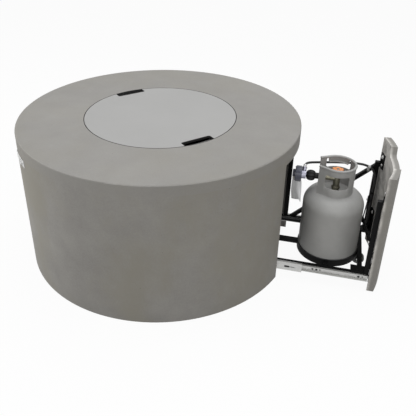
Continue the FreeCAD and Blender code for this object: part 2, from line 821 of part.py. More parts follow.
def make_door_bolts():
    face = leg(inner_radius - dim.bracket_sheet, dim.bolt_head)
    shanks = []
    bolts = []
    levels = (
        (dim.upper_bracket_low, dim.upper_bracket_height),
        (dim.lower_bracket_low, dim.lower_bracket_height),
    )
    for sign in (-1, 1):
        whole = []
        cutters = []
        for low, height in levels:
            for row in bolt_rows(low, height):
                name = f"door_bolt_{len(whole) + 1}_{'near' if sign < 0 else 'far'}"
                head = hexagon(f"{name}_head", dim.bolt_head, (face - dim.bolt_head_height, 0, row),
                               dim.bolt_head_height, "x")
                shank = rod(f"{name}_shank", dim.bolt_radius, (face, 0, row), dim.bolt_depth, "x")
                whole.append(fuse(name, head, shank))
                cutters.append(rod(f"{name}_socket", dim.bolt_radius, (face, 0, row), dim.bolt_depth, "x"))
        side = "near" if sign < 0 else "far"
        bolts.append(radial_group(f"door_bolts_{side}", whole, sign))
        shanks.append(radial_group(f"door_bolt_sockets_{side}", cutters, sign))
    piece(group("door_bolts", bolts))
    return group("door_bolt_sockets", shanks)


# Ring, tray and strap that hold the bottle
def make_cradle():
    axis = bottle_x + dim.pull
    ring_inside = dim.ring_radius - dim.ring_sheet
    piece(pipe("bottle_ring", dim.ring_radius, ring_inside, (axis, 0, dim.ring_floor), dim.ring_height))
    half = dim.tray_width / 2
    tray_top = dim.ring_floor + dim.tray_sheet
    low = dim.ring_floor
    long_bar = box("tray_long_bar", (axis - ring_inside, -half, low), (axis + ring_inside, half, tray_top))
    cross_bar = box("tray_cross_bar", (axis - half, -ring_inside, low), (axis + half, ring_inside, tray_top))
    tray_round = rod("tray_round", ring_inside, (axis, 0, low), dim.tray_sheet)
    piece(common("bottle_tray", fuse("tray_bars", long_bar, cross_bar), tray_round))
    # A bar bent to a shallow V in front of the bottle, bolted to both uprights
    upright_rear = frame_front + dim.pull - dim.tube
    strap_top = dim.strap_low + dim.strap_height
    bend = axis + dim.bottle_radius + dim.strap_gap
    tab_rear = upright_rear - dim.strap_sheet
    wings = []
    bolts = []
    for side, sign in (("near", -1), ("far", 1)):
        wing = padded_body(f"strap_wing_{side}", "XY_Plane", [
            (bend, 0), (bend + dim.strap_sheet, 0),
            (upright_rear, rail_inner * sign), (tab_rear, rail_inner * sign),
        ], dim.strap_height)
        wings.append(place(wing, 0, 0, dim.strap_low))
        tab_y = sorted((rail_inner * sign, rail_face * sign), key=number)
        wings.append(box(f"strap_tab_{side}", (tab_rear, tab_y[0], dim.strap_low),
                         (upright_rear, tab_y[1], strap_top)))
        bolt_spot = (tab_rear - dim.bolt_head_height, (rail_inner + rail_face) / 2 * sign,
                     dim.strap_low + dim.strap_height / 2)
        bolts.append(hexagon(f"strap_bolt_{side}", dim.bolt_head, bolt_spot, dim.bolt_head_height, "x"))
    piece(fuse("cradle_strap", *wings))
    piece(group("strap_bolts", bolts))


# The bottle's rounded drum, at a depth inside its outer surface
def bottle_form(name, depth):
    girth = dim.bottle_radius - depth
    low = dim.bottle_body_low + depth
    top = dim.bottle_body_top - depth
    form = turned_body(name, [(0, low), (girth, low), (girth, top), (0, top)])
    wide = number(girth)
    soften(form, f"{name}_heel", dim.heel - depth, lambda edge: circle_at(edge, wide, number(low)))
    soften(form, f"{name}_shoulder", dim.shoulder - depth, lambda edge: circle_at(edge, wide, number(top)))
    return place(form, bottle_x + dim.pull, 0, 0)


# Steel gas bottle with its foot ring and valve collar
def make_bottle():
    axis = bottle_x + dim.pull
    outside = bottle_form("bottle_outside", 0)
    inside = bottle_form("bottle_inside", dim.bottle_sheet)
    piece(cut("bottle_body", outside, inside))
    foot_inside = dim.foot_radius - dim.foot_sheet
    foot_low = dim.ring_floor + dim.tray_sheet
    foot_top = dim.bottle_body_low + dim.heel - leg(dim.heel, foot_inside - dim.bottle_radius + dim.heel)
    piece(pipe("bottle_foot", dim.foot_radius, foot_inside, (axis, 0, foot_low), foot_top - foot_low))
    collar_inside = dim.collar_radius - dim.collar_sheet
    reach = collar_inside - dim.bottle_radius + dim.shoulder
    collar_low = dim.bottle_body_top - dim.shoulder + leg(dim.shoulder, reach)
    tube = pipe("collar_tube", dim.collar_radius, collar_inside, (axis, 0, collar_low),
                dim.collar_top - collar_low)
    bead = bind(doc.addObject("Part::Torus", "collar_bead_ring"), Radius2=dim.collar_bead,
                Radius1=dim.collar_radius - dim.collar_sheet / 2)
    place(bead, axis, 0, dim.collar_top)
    front = rounded_window("collar_window", "y", dim.window_half, dim.window_low, dim.window_high)
    place(front, axis, 0, 0)
    handle = rounded_window("collar_handle", "y", dim.handle_half, dim.handle_low, dim.handle_high)
    place(handle, axis, dim.collar_radius + dim.collar_radius, 0)
    port = rounded_window("collar_port", "x", dim.port_half, dim.window_low, dim.handle_high)
    place(port, axis - dim.collar_radius - dim.collar_radius, 0, 0)
    piece(cut("bottle_collar", fuse("collar_shell", tube, bead), front, handle, port))


# A round-cornered block that cuts a window through one side of the collar
def rounded_window(name, direction, half, low, high):
    role = "XZ_Plane" if direction == "y" else "YZ_Plane"
    corners = [(-half, low), (half, low), (half, high), (-half, high)]
    block = padded_body(name, role, corners, dim.collar_radius * 2)
    inward = 1 if direction == "y" else 0

    def corner(edge):
        ends = [vertex.Point for vertex in edge.Vertexes]
        return abs(ends[0][inward] - ends[1][inward]) > 1.0

    return soften(block, f"{name}_rounding", dim.window_round, corner)


# Bottle valve, its handwheel and the regulator on its outlet
def make_valve():
    axis = bottle_x + dim.pull
    stand = rod("valve_stand", dim.valve_radius, (axis, 0, dim.bottle_body_top),
                valve_top - dim.bottle_body_top)
    outlet = rod("valve_outlet", dim.outlet_radius, (axis - dim.outlet_reach, 0, dim.outlet_height),
                 dim.outlet_reach, "x")
    stem = rod("valve_stem", dim.stem_radius, (axis, 0, valve_top), stem_top - valve_top)
    piece(fuse("bottle_valve", stand, outlet, stem))
    wheel_low = valve_top + dim.slide_play
    disc = rod("wheel_disc", dim.wheel_radius, (axis, 0, wheel_low), dim.wheel_height)
    bore = rod("wheel_bore", dim.stem_radius + dim.running_play, (axis, 0, wheel_low), dim.wheel_height)
    lobes = []
    count = 6
    for index in range(count):
        turn = math.radians(360 * index / count)
        spot = (axis + dim.wheel_radius * math.cos(turn), dim.wheel_radius * math.sin(turn), wheel_low)
        lobes.append(rod(f"wheel_scallop_{index + 1}", dim.wheel_lobe, spot, dim.wheel_height))
    piece(cut("valve_wheel", disc, bore, *lobes))


def make_regulator():
    height = dim.outlet_height
    start = regulator_start + dim.pull
    face = start + dim.regulator_length
    outlet_end = bottle_x + dim.pull - dim.outlet_reach
    lip = dim.regulator_lip
    disc = rod("regulator_disc", dim.regulator_radius - lip, (start, 0, height), dim.regulator_length, "x")
    rim = rod("regulator_rim", dim.regulator_radius, (start + lip, 0, height),
              dim.regulator_length - lip * 2, "x")
    piece(fuse("regulator_body", disc, rim))
    piece(rod("regulator_cap", dim.cap_radius, (start - dim.cap_length, 0, height), dim.cap_length, "x"))
    bonnet = rod("regulator_bonnet", dim.bonnet_radius, (face, 0, height), dim.bonnet_length, "x")
    tail = rod("regulator_tail", dim.tail_radius, (face, 0, height), outlet_end - face, "x")
    spout_x = face + dim.bonnet_length / 2
    spout = rod("regulator_spout", dim.spout_radius, (spout_x, 0, height), spout_height - height)
    elbow = bind(doc.addObject("Part::Sphere", "spout_elbow"), Radius=dim.spout_radius)
    place(elbow, spout_x, 0, spout_height)
    branch = rod("spout_branch", dim.spout_radius, (spout_x, 0, spout_height), dim.spout_reach, "y")
    piece(fuse("regulator_outlet", bonnet, tail, spout, elbow, branch))
    nut_start = coupling_start + dim.pull
    neck_end = outlet_end - dim.slide_play
    grip = rod("coupling_grip", dim.coupling_radius, (nut_start, 0, height), dim.coupling_length, "x")
    neck = rod("coupling_neck", dim.neck_radius, (nut_start, 0, height), neck_end - nut_start, "x")
    blank = fuse("coupling_blank", grip, neck)
    bore = rod("coupling_bore", dim.tail_radius + dim.running_play, (nut_start, 0, height),
               neck_end - nut_start, "x")
    flutes = []
    count = 8
    edge = dim.coupling_radius
    for index in range(count):
        turn = math.radians(360 * index / count)
        spot = (nut_start, edge * math.sin(turn), height + edge * math.cos(turn))
        flutes.append(rod(f"coupling_flute_{index + 1}", dim.coupling_flute, spot, dim.coupling_length, "x"))
    piece(cut("coupling_nut", blank, bore, *flutes))
    # Blank paper tag, bent a little, that hangs from the cap by its neck
    tag_top = height - dim.cap_radius
    tag_shoulder = height - dim.regulator_radius - dim.seat_play
    tag_low = tag_shoulder - dim.tag_length
    tag_end = start - dim.seat_play
    tag_start = tag_end - dim.tag_neck
    card = padded_body("tag_card", "XZ_Plane", [
        (tag_start, tag_low), (tag_start + dim.tag_width, tag_low), (tag_start + dim.tag_width, tag_shoulder),
        (tag_end, tag_shoulder), (tag_end, tag_top), (tag_start, tag_top),
    ], dim.tag_bend)
    place(card, 0, dim.tag_bend / 2, 0)
    curve = pipe("tag_curve", dim.tag_bend, dim.tag_bend - dim.tag_sheet,
                 (tag_start + dim.tag_width / 2, dim.tag_bend, tag_low), tag_top - tag_low)
    piece(common("hang_tag", card, curve))


# Gas hose: clipped along the drawer frame from the regulator, then free to the fixed inlet
hose_reach = dim.hose_radius + dim.clip_sheet
hose_y = rail_inner - hose_reach
hose_z = frame_top + hose_reach


def make_hoses():
    spout_x = regulator_start + dim.regulator_length + dim.bonnet_length / 2 + dim.pull
    spout = (spout_x, dim.spout_reach, spout_height)
    arch_spots = [
        (210, 44, 409.5), (218, 68, 406), (242, 86, 402), (276, 98, 400.5), (320, 112, 400), (368, 126, 398),
        (412, 138, 395), (448, 142, 391), (479, 142, 378), (494, 142, 347),
    ]
    upright_spots = [
        (495.5, 141.6, 312), (495, 142, 262), (495.5, 141.6, 202), (495, 142, 152), (495, 142, 114.8),
    ]
    rail_spots = [
        (483.8, 141.6, 95.2), (464, 141, 84), (428, 140.4, 83.6), (386, 141, 81.4), (338, 140, 80.8),
        (278, 141, 81.3), (222, 142, 80.7),
    ]
    end = (frame_rear + dim.pull, hose_y, hose_z)
    straight = (frame_rear + dim.pull + dim.tube * 2, hose_y, hose_z)
    drawer_spots = arch_spots + upright_spots + rail_spots
    held = [(across + number(dim.pull), away, up) for across, away, up in drawer_spots]
    piece(bent_tube("gas_hose", dim.hose_radius, [spout] + held + [straight, end]))
    inlet = (dim.rear_tie + dim.inlet_reach, dim.inlet_y, dim.inlet_height)
    free_spots = [
        (446, 142.05, 80.75), (400, 148, 77), (350, 150, 69), (296, 143, 58), (240, 128, 45), (180, 112, 32),
        (120, 100, 24), (60, 94, 22), (5, 95, 25), (-40, 101, 37), (-74, 109, 57), (-98, 116, 78),
    ]
    piece(bent_tube("feed_hose", dim.hose_radius, [end] + free_spots + [inlet]))
    make_clips()
    make_gas_line()


# Clips round the hose on the far upright and the rear rail
def make_clips():
    ring = hose_reach - dim.seat_play
    bore = dim.hose_radius + dim.seat_play
    half = dim.clip_width / 2
    rear_spot = (frame_rear + dim.pull + dim.tube / 2 - half, hose_y, hose_z)
    rear_clip = pipe("rear_clip", ring, bore, rear_spot, dim.clip_width, "x")
    clip_low = dim.strap_low + dim.strap_height * 2
    upright_spot = (frame_front + dim.pull - dim.tube / 2, hose_y, clip_low)
    upright_clip = pipe("upright_clip", ring, bore, upright_spot, dim.clip_width)
    piece(group("hose_clips", [rear_clip, upright_clip]))


# A place beside the control panel, by its distance from the table's axis and along the wall
def panel_spot(out, along_wall, height):
    turn = math.radians(number(dim.plate_turn))
    across = number(out) * math.cos(turn) - number(along_wall) * math.sin(turn)
    away = number(out) * math.sin(turn) + number(along_wall) * math.cos(turn)
    return (across, away, number(height))


# Fixed gas line in the drum: hose inlet on the rear tie, pipe to the valve, pipe on to the mixer
def make_gas_line():
    half = dim.tube / 2
    rear_face = dim.rear_tie - half
    stand = box("inlet_stand", (rear_face, dim.inlet_y - half, dim.tie_sheet),
                (dim.rear_tie + half, dim.inlet_y + half, dim.inlet_height + half))
    nipple = rod("inlet_nipple", dim.spout_radius, (dim.rear_tie, dim.inlet_y, dim.inlet_height),
                 dim.inlet_reach, "x")
    piece(fuse("hose_inlet", stand, nipple))
    valve_low = plate_axis - dim.control_radius
    valve_middle = inner_radius - dim.control_depth / 2
    foot_x, foot_y, foot_z = panel_spot(valve_middle, -dim.key_offset, valve_low)
    inlet_spots = [(-205, 116, 78), (-262, 86, 104), (-330, -20, 120), (-378, -130, 121)]
    riser_y = foot_y + number(dim.riser_run)
    riser = [(foot_x, riser_y, 130), (foot_x, foot_y, 190), (foot_x, foot_y, foot_z)]
    start = (rear_face, dim.inlet_y, dim.inlet_height)
    piece(bent_tube("inlet_pipe", dim.pipe_radius, [start] + inlet_spots + riser))
    valve_end = panel_spot(valve_start, -dim.key_offset, plate_axis)
    lead = panel_spot(valve_start - dim.pipe_lead, -dim.key_offset, plate_axis)
    foot = number(mixer_low - dim.pipe_drop)
    fall = [(-315, -218, number(plate_axis - dim.pipe_drop)), (-170, -115, number(mixer_low))]
    rise = [(-45, -30, foot), (0, 0, foot), (0, 0, mixer_low)]
    piece(bent_tube("supply_pipe", dim.pipe_radius, [valve_end, lead] + fall + rise))


# Plain roller under the front of the drawer
def make_roller():
    axis_x = bottle_x + dim.ring_radius + dim.tube / 2 + dim.pull
    axis_z = dim.roller_radius + dim.roller_lift
    half = dim.roller_width / 2
    bore = dim.axle_radius + dim.running_play
    chamfer = dim.roller_chamfer
    wheel = turned_body("roller_wheel", [
        (bore, -half), (dim.roller_radius - chamfer, -half), (dim.roller_radius, chamfer - half),
        (dim.roller_radius, half - chamfer), (dim.roller_radius - chamfer, half), (bore, half),
    ])
    place(wheel, axis_x, 0, axis_z, along["y"])
    piece(wheel)
    inside = half + dim.fork_play
    outside = inside + dim.fork_sheet
    piece(rod("roller_axle", dim.axle_radius, (axis_x, -outside, axis_z), outside * 2, "y"))
    cheek_half = dim.fork_width / 2
    plate = box("fork_plate", (axis_x - cheek_half, -outside, dim.frame_floor - dim.fork_sheet),
                (axis_x + cheek_half, outside, dim.frame_floor))
    cheeks = [
        box(f"fork_cheek_{index}", (axis_x - cheek_half, low, axis_z - dim.axle_radius * 2),
            (axis_x + cheek_half, low + dim.fork_sheet, dim.frame_floor - dim.fork_sheet))
        for index, low in enumerate((-outside, inside), start=1)
    ]
    hole = rod("fork_hole", dim.axle_radius, (axis_x, -outside, axis_z), outside * 2, "y")
    piece(cut("roller_fork", fuse("fork_blank", plate, *cheeks), hole))


make_top_slab()
make_side_wall()
make_lid()
mixer_low = make_burner()
make_controls()
make_bearers()
make_slides()
make_frame()
make_brackets()
make_door()
make_cradle()
make_bottle()
make_valve()
make_regulator()
make_hoses()
make_roller()

doc.recompute()
failed = [item.Label for item in doc.Objects if "Invalid" in item.State or "Error" in item.State]
if failed:
    raise RuntimeError(f"these objects failed: {failed}")
for item in pieces:
    if item.Shape.isNull() or not item.Shape.isValid() or not item.Shape.Solids:
        raise RuntimeError(f"{item.Label} has no valid solid")

os.makedirs("parts", exist_ok=True)
for item in pieces:
    item.Shape.exportStep(f"parts/{item.Label}.step")
    bounds = item.Shape.BoundBox
    print(f"{item.Label}: {len(item.Shape.Solids)} solids, x {bounds.XMin:.1f} to {bounds.XMax:.1f},"
          f" y {bounds.YMin:.1f} to {bounds.YMax:.1f}, z {bounds.ZMin:.1f} to {bounds.ZMax:.1f}")
print(f"{len(pieces)} pieces")
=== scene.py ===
import bpy
import bmesh
import math
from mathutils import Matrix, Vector


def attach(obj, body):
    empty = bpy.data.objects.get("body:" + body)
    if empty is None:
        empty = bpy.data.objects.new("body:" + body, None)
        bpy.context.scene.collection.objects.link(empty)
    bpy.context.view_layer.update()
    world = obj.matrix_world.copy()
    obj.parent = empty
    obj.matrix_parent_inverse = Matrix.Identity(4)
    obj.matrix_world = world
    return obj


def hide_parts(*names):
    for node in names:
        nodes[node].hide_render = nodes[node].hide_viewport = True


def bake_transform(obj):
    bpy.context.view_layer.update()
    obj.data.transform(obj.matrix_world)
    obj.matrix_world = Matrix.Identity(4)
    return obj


# Round concrete fire pit table with its gas bottle drawer pulled out.
# Everything is in metres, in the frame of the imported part: drawer out along +X, up is +Z.

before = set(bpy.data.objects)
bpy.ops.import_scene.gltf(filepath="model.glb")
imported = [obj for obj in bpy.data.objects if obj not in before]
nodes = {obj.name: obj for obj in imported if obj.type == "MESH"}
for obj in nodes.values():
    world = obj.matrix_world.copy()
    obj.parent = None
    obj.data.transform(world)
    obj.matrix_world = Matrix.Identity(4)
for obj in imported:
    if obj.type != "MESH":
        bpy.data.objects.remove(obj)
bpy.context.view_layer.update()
scene = bpy.context.scene
scene.view_settings.view_transform = "Standard"
pull = 0.38  # how far the drawer stands open
white = (1.0, 1.0, 1.0, 1.0)
print("frame loaded:", len(nodes), "nodes")

# camera and light

shot = {
    "place": (0.64298, -1.87798, 1.42221),
    "turn": (1.072538, -0.017896, 0.239047),
    "lens": 46.058, "sensor": 36.0,
    "shiftUp": -0.1034,  # the picture is cropped low on the table
    "shiftRight": -0.0036,
}
cameraData = bpy.data.cameras.new("camera")
cameraData.lens = shot["lens"]
cameraData.sensor_width = shot["sensor"]
cameraData.shift_y = shot["shiftUp"]
cameraData.shift_x = shot["shiftRight"]
camera = bpy.data.objects.new("camera", cameraData)
camera.location = shot["place"]
camera.rotation_euler = shot["turn"]
scene.collection.objects.link(camera)
scene.camera = camera

studio = {
    "skyFill": 0.38,
    "lamps": {
        "overhead": {"place": (0.6, 0.1, 3.4), "aim": (0.2, 0.0, 0.4), "size": 3.2, "power": 54.0},
        "leftWindow": {"place": (-3.4, -0.9, 1.3), "aim": (-0.2, 0.0, 0.3), "size": 2.2, "power": 50.0},
        "frontFill": {"place": (1.3, -3.4, 1.5), "aim": (0.5, 0.0, 0.3), "size": 1.8, "power": 24.0},
    },
}
for lampName, lamp in studio["lamps"].items():
    lampData = bpy.data.lights.new(lampName, "AREA")
    lampData.size = lamp["size"]
    lampData.energy = lamp["power"]
    lampObject = bpy.data.objects.new(lampName, lampData)
    lampObject.location = lamp["place"]
    beam = Vector(lamp["aim"]) - Vector(lamp["place"])
    lampObject.rotation_euler = beam.to_track_quat("-Z", "Y").to_euler()
    scene.collection.objects.link(lampObject)


def feed(tree, target, amount):
    if isinstance(amount, Value):
        amount = amount.socket
    if isinstance(amount, bpy.types.NodeSocket):
        tree.links.new(amount, target)
    else:
        target.default_value = amount


def setStops(ramp, stops):
    for index, (place, colour) in enumerate(stops):
        stop = ramp.elements[index] if index < 2 else ramp.elements.new(place)
        stop.position = place
        stop.color = solid(colour)


# A node of any tree: its settings are set first, then the values or links of its sockets
def addNode(tree, kind, settings=None, sockets=None):
    made = tree.nodes.new(kind)
    for field, amount in (settings or {}).items():
        if field == "stops":
            setStops(made.color_ramp, amount)
        else:
            setattr(made, field, amount)
    for key, amount in (sockets or {}).items():
        feed(tree, made.inputs[key], amount)
    return made


# One value in a shader tree. Sums and products of values add their Math nodes.
class Value:
    def __init__(self, finish, socket):
        self.finish = finish
        self.socket = socket

    def maths(self, operation, first, second):
        return self.finish.node("Math", {"operation": operation}, {0: first, 1: second})

    def __add__(self, other):
        return self.maths("ADD", self, other)

    def __sub__(self, other):
        return self.maths("SUBTRACT", self, other)

    def __rsub__(self, other):
        return self.maths("SUBTRACT", other, self)

    def __mul__(self, other):
        return self.maths("MULTIPLY", self, other)

    def __pow__(self, other):
        return self.maths("POWER", self, other)

    __radd__ = __add__
    __rmul__ = __mul__

    def orMore(self, other):
        return self.maths("MAXIMUM", self, other)

    def between(self, low, high):  # 0 below low, 1 above high, smooth in between
        return self.finish.node("MapRange", {"interpolation_type": "SMOOTHSTEP"},
                                {"Value": self, "From Min": low, "From Max": high})


# One material: constants go on the shader's own sockets, patterns come through nodes.
class Finish:
    def __init__(self, name, **constants):
        self.material = bpy.data.materials.new(name)
        self.material.use_nodes = True
        self.tree = self.material.node_tree
        self.shader = self.tree.nodes["Principled BSDF"]
        for socketName, amount in constants.items():
            self.shader.inputs[socketName.replace("_", " ")].default_value = amount
        self.spot = self.node("TexCoord", output="Object")

    def node(self, kind, settings=None, sockets=None, output=0):
        made = addNode(self.tree, f"ShaderNode{kind}", settings, sockets)
        return Value(self, made.outputs[output])

    def noise(self, scale, detail, rough, spot=None):
        return self.node("TexNoise", None, {"Vector": spot or self.spot, "Scale": scale, "Detail": detail,
                                            "Roughness": rough})

    def cells(self, scale, feature="F1", output="Distance"):
        return self.node("TexVoronoi", {"feature": feature}, {"Vector": self.spot, "Scale": scale}, output)

    def stretched(self, *scale):
        return self.node("Mapping", None, {"Vector": self.spot, "Scale": scale})

    def mix(self, factor, first, second):
        return self.node("Mix", {"data_type": "RGBA"}, {0: factor, 6: first, 7: second}, 2)

    def shades(self, factor, *stops):
        return self.node("ValToRGB", {"stops": stops}, {0: factor})

    def axis(self, name):
        return self.node("SeparateXYZ", None, {0: self.spot}, name)

    def reach(self, middle=0.0):  # distance from the upright axis at x = middle
        across = self.axis("X") - middle
        away = self.axis("Y")
        return (across * across + away * away) ** 0.5

    def put(self, socketName, value):
        feed(self.tree, self.shader.inputs[socketName], value)

    def colour(self, value):
        self.put("Base Color", value)

    def rough(self, value):
        self.put("Roughness", value)

    def bump(self, height, strength, distance):
        bumped = self.node("Bump", None, {"Height": height, "Strength": strength, "Distance": distance})
        self.put("Normal", bumped)


def shade(tone, share):
    return tuple(part * share for part in tone)


def solid(tone):
    return (*tone, 1.0)


paintedShadeBlack = (0.018, 0.018, 0.018)  # black for the gaps round the lid and its rebate and inside the hand slots: painted shade

# Cast concrete: broad clouds, a fine sandy fleck and a few pinholes painted dark as painted shade inside them
concrete = {
    "tone": (0.337, 0.328, 0.312), "earthy": (0.97, 0.95, 0.86),  # earthy tints the stained patches
    "clouds": 2.6, "patches": 11.0, "grit": 165.0, "fleck": 420.0, "pits": 62.0,  # scales of the patterns
    "stain": 3.4, "rawStain": 17.0,
    "rawPaintedLightBand": 0.012, "rebateShadeBand": 0.0012,  # how gradually the raw face with its painted light and the painted shade of the rebate wall begin
}


def castConcrete(name, mottle, warmth, innerRadius=None, rebate=None):
    finish = Finish(name, IOR=1.45)
    tone = concrete["tone"]
    clouds = finish.noise(concrete["clouds"], detail=5.0, rough=0.6)
    patches = finish.noise(concrete["patches"], detail=6.0, rough=0.62)
    grit = finish.noise(concrete["grit"], detail=3.0, rough=0.6)
    fleck = finish.noise(concrete["fleck"], detail=2.0, rough=0.7)
    spread = clouds * 0.38 + patches * 0.27 + grit * 0.2 + fleck * 0.15
    pitCell = finish.cells(concrete["pits"])
    pitChance = finish.cells(concrete["pits"], output="Color")
    pits = (1.0 - pitCell.between(0.05, 0.11)) * pitChance.between(0.80, 0.84)
    darker, paler = shade(tone, 1.0 - mottle), shade(tone, 1.0 + mottle)
    base = finish.shades(spread, (0.36, darker), (0.5, tone), (0.64, paler))
    stain = finish.noise(concrete["stain"], detail=6.0, rough=0.66, spot=finish.stretched(1.0, 1.0, 0.55))
    earthy = tuple(part * share for part, share in zip(tone, concrete["earthy"]))
    base = finish.mix(stain.between(0.42, 0.66) * warmth, base, solid(earthy))
    if innerRadius is not None:  # the door's inner face was left rough from the mould, and its mottled tones are painted far paler as painted light for light the face does not get
        rawFacePaintedLight = 1.0 - finish.reach(pull).between(innerRadius, innerRadius + concrete["rawPaintedLightBand"])
        stains = finish.noise(concrete["rawStain"], detail=7.0, rough=0.68).between(0.36, 0.62)
        # painted light: tones of 1.3 to 2.4 times the concrete's own tone
        rawPaintedLightTone = finish.shades(stains, (0.0, shade(tone, 1.3)), (0.5, shade(tone, 1.9)), (1.0, shade(tone, 2.4)))
        base = finish.mix(rawFacePaintedLight, base, rawPaintedLightTone)
    if rebate is not None:  # painted shade: the wall of the lid's rebate is painted black as the shade in the gap round the lid
        rebateShade = 1.0 - finish.reach().between(rebate, rebate + concrete["rebateShadeBand"])
        base = finish.mix(rebateShade, base, solid(paintedShadeBlack))
    # painted shade: the pinholes are painted much darker as the shade inside them
    finish.colour(finish.mix(pits * 0.7, base, solid(shade(tone, 0.42))))
    finish.rough(0.72 + patches * 0.2)
    finish.bump(fleck * 0.35 + patches * 0.4 - pits * 1.6, strength=0.35, distance=0.0012)
    return finish.material


# Smooth stone-grey coating of the lid; the cut edge of its rim and its hand slots are painted black as
# painted shade in the gap and the slots
def lidCoat(top, rim):
    finish = Finish("lid_coat", IOR=1.45)
    grain = finish.noise(650.0, detail=2.0, rough=0.6)
    drift = finish.noise(4.0, detail=4.0, rough=0.5)
    pattern = drift * 0.6 + grain * 0.4
    face = finish.shades(pattern, (0.3, (0.395, 0.394, 0.388)), (0.7, (0.435, 0.434, 0.428)))
    onTop = finish.axis("Z").between(top - 0.0012, top - 0.0006)
    inside = onTop * (1.0 - finish.reach().between(rim - 0.001, rim))
    # painted shade: everything but the top face inside the rim turns black
    finish.colour(finish.mix(inside, solid(paintedShadeBlack), face))
    finish.rough(0.52 + grain * 0.12)
    finish.bump(grain, strength=0.12, distance=0.0004)
    return finish.material


# Powder coat: fine orange peel and paler, rubbed patches
def powderCoat(name, tone):
    finish = Finish(name, Specular_IOR_Level=0.11)
    peel = finish.noise(900.0, detail=2.0, rough=0.5)
    dust = finish.noise(28.0, detail=5.0, rough=0.65)
    finish.colour(finish.shades(dust, (0.35, shade(tone, 0.8)), (0.75, shade(tone, 1.7))))
    finish.rough(0.5 + dust * 0.2)
    finish.bump(peel, strength=0.22, distance=0.0004)
    return finish.material


# Zinc-plated steel with its spangle and drawn lines along the member
def zincSheet(name, tone, spangle=150.0):
    finish = Finish(name, Metallic=1.0)
    flakes = finish.cells(spangle, output="Color")
    lines = finish.noise(60.0, detail=3.0, rough=0.6, spot=finish.stretched(0.08, 6.0, 6.0))
    smear = finish.noise(14.0, detail=4.0, rough=0.6)
    pattern = flakes * 0.3 + smear * 0.4 + lines * 0.3
    finish.colour(finish.shades(pattern, (0.25, shade(tone, 0.84)), (0.75, shade(tone, 1.06))))
    finish.rough(0.3 + smear * 0.2 + lines * 0.1)
    finish.bump(lines, strength=0.1, distance=0.0003)
    return finish.material


# Brushed stainless
def brushedSteel(name, tone):
    finish = Finish(name, Metallic=1.0)
    lines = finish.noise(40.0, detail=3.0, rough=0.6, spot=finish.stretched(3.0, 3.0, 90.0))
    smear = finish.noise(9.0, detail=4.0, rough=0.6)
    pattern = lines * 0.6 + smear * 0.4
    finish.colour(finish.shades(pattern, (0.3, shade(tone, 0.82)), (0.7, shade(tone, 1.06))))
    finish.rough(0.24 + lines * 0.16)
    finish.bump(lines, strength=0.08, distance=0.0002)
    return finish.material


# Satin enamel of the bottle, with handling scuffs and a trace of orange peel
def bottleEnamel():
    finish = Finish("bottle_enamel", Coat_Roughness=0.28, IOR=1.5)
    tone = (0.425, 0.426, 0.417)
    peel = finish.noise(310.0, detail=2.0, rough=0.5)
    drift = finish.noise(7.0, detail=5.0, rough=0.6)
    scrapes = finish.noise(75.0, detail=6.0, rough=0.72, spot=finish.stretched(1.0, 1.0, 3.2))
    scuff = scrapes.between(0.62, 0.72)
    base = finish.shades(drift, (0.3, shade(tone, 0.9)), (0.7, shade(tone, 1.1)))
    finish.colour(finish.mix(scuff * 0.35, base, solid(shade(tone, 1.45))))
    finish.rough(0.48 + drift * 0.12 + scuff * 0.15)
    finish.put("Coat Weight", 0.12 - scuff * 0.1)
    finish.bump(peel + scuff * 0.3, strength=0.1, distance=0.0006)
    return finish.material


# Turned metal such as brass, copper or die-cast zinc
def turnedMetal(name, tone, dullness=0.28):
    finish = Finish(name, Metallic=1.0)
    dull = finish.noise(45.0, detail=5.0, rough=0.65)
    fine = finish.noise(240.0, detail=2.0, rough=0.5)
    finish.colour(finish.shades(dull, (0.35, shade(tone, 0.72)), (0.68, shade(tone, 1.08))))
    finish.rough(dullness + dull * 0.22)
    finish.bump(fine, strength=0.1, distance=0.0003)
    return finish.material


# Moulded plastic with a fine spark-eroded grain
def mouldedPlastic(name, tone, dullness=0.4, shine=0.5):
    finish = Finish(name, IOR=1.46, Specular_IOR_Level=shine)
    fine = finish.noise(700.0, detail=2.0, rough=0.55)
    wear = finish.noise(38.0, detail=4.0, rough=0.6)
    finish.colour(finish.shades(wear, (0.3, shade(tone, 0.84)), (0.7, shade(tone, 1.16))))
    finish.rough(dullness + fine * 0.14)
    finish.bump(fine, strength=0.18, distance=0.0003)
    return finish.material


# Hammered enamel of the regulator
def hammeredEnamel():
    finish = Finish("hammered_enamel", Coat_Weight=0.4, Coat_Roughness=0.15)
    dimples = finish.cells(420.0, "SMOOTH_F1")
    drift = finish.noise(60.0, detail=3.0, rough=0.5)
    pattern = dimples * 0.6 + drift * 0.4
    finish.colour(finish.shades(pattern, (0.2, (0.060, 0.068, 0.115)), (0.7, (0.022, 0.025, 0.046))))
    finish.rough(0.3 + drift * 0.12)
    finish.bump(dimples, strength=0.3, distance=0.0008)
    return finish.material


# Black gas rubber, dulled by handling
def gasRubber(name, tone):
    finish = Finish(name)
    bloom = finish.noise(30.0, detail=5.0, rough=0.65)
    grain = finish.noise(1500.0, detail=2.0, rough=0.5)
    finish.colour(finish.shades(bloom, (0.35, shade(tone, 0.7)), (0.72, shade(tone, 1.9))))
    finish.rough(0.55 + bloom * 0.2)
    finish.bump(grain, strength=0.15, distance=0.0003)
    return finish.material


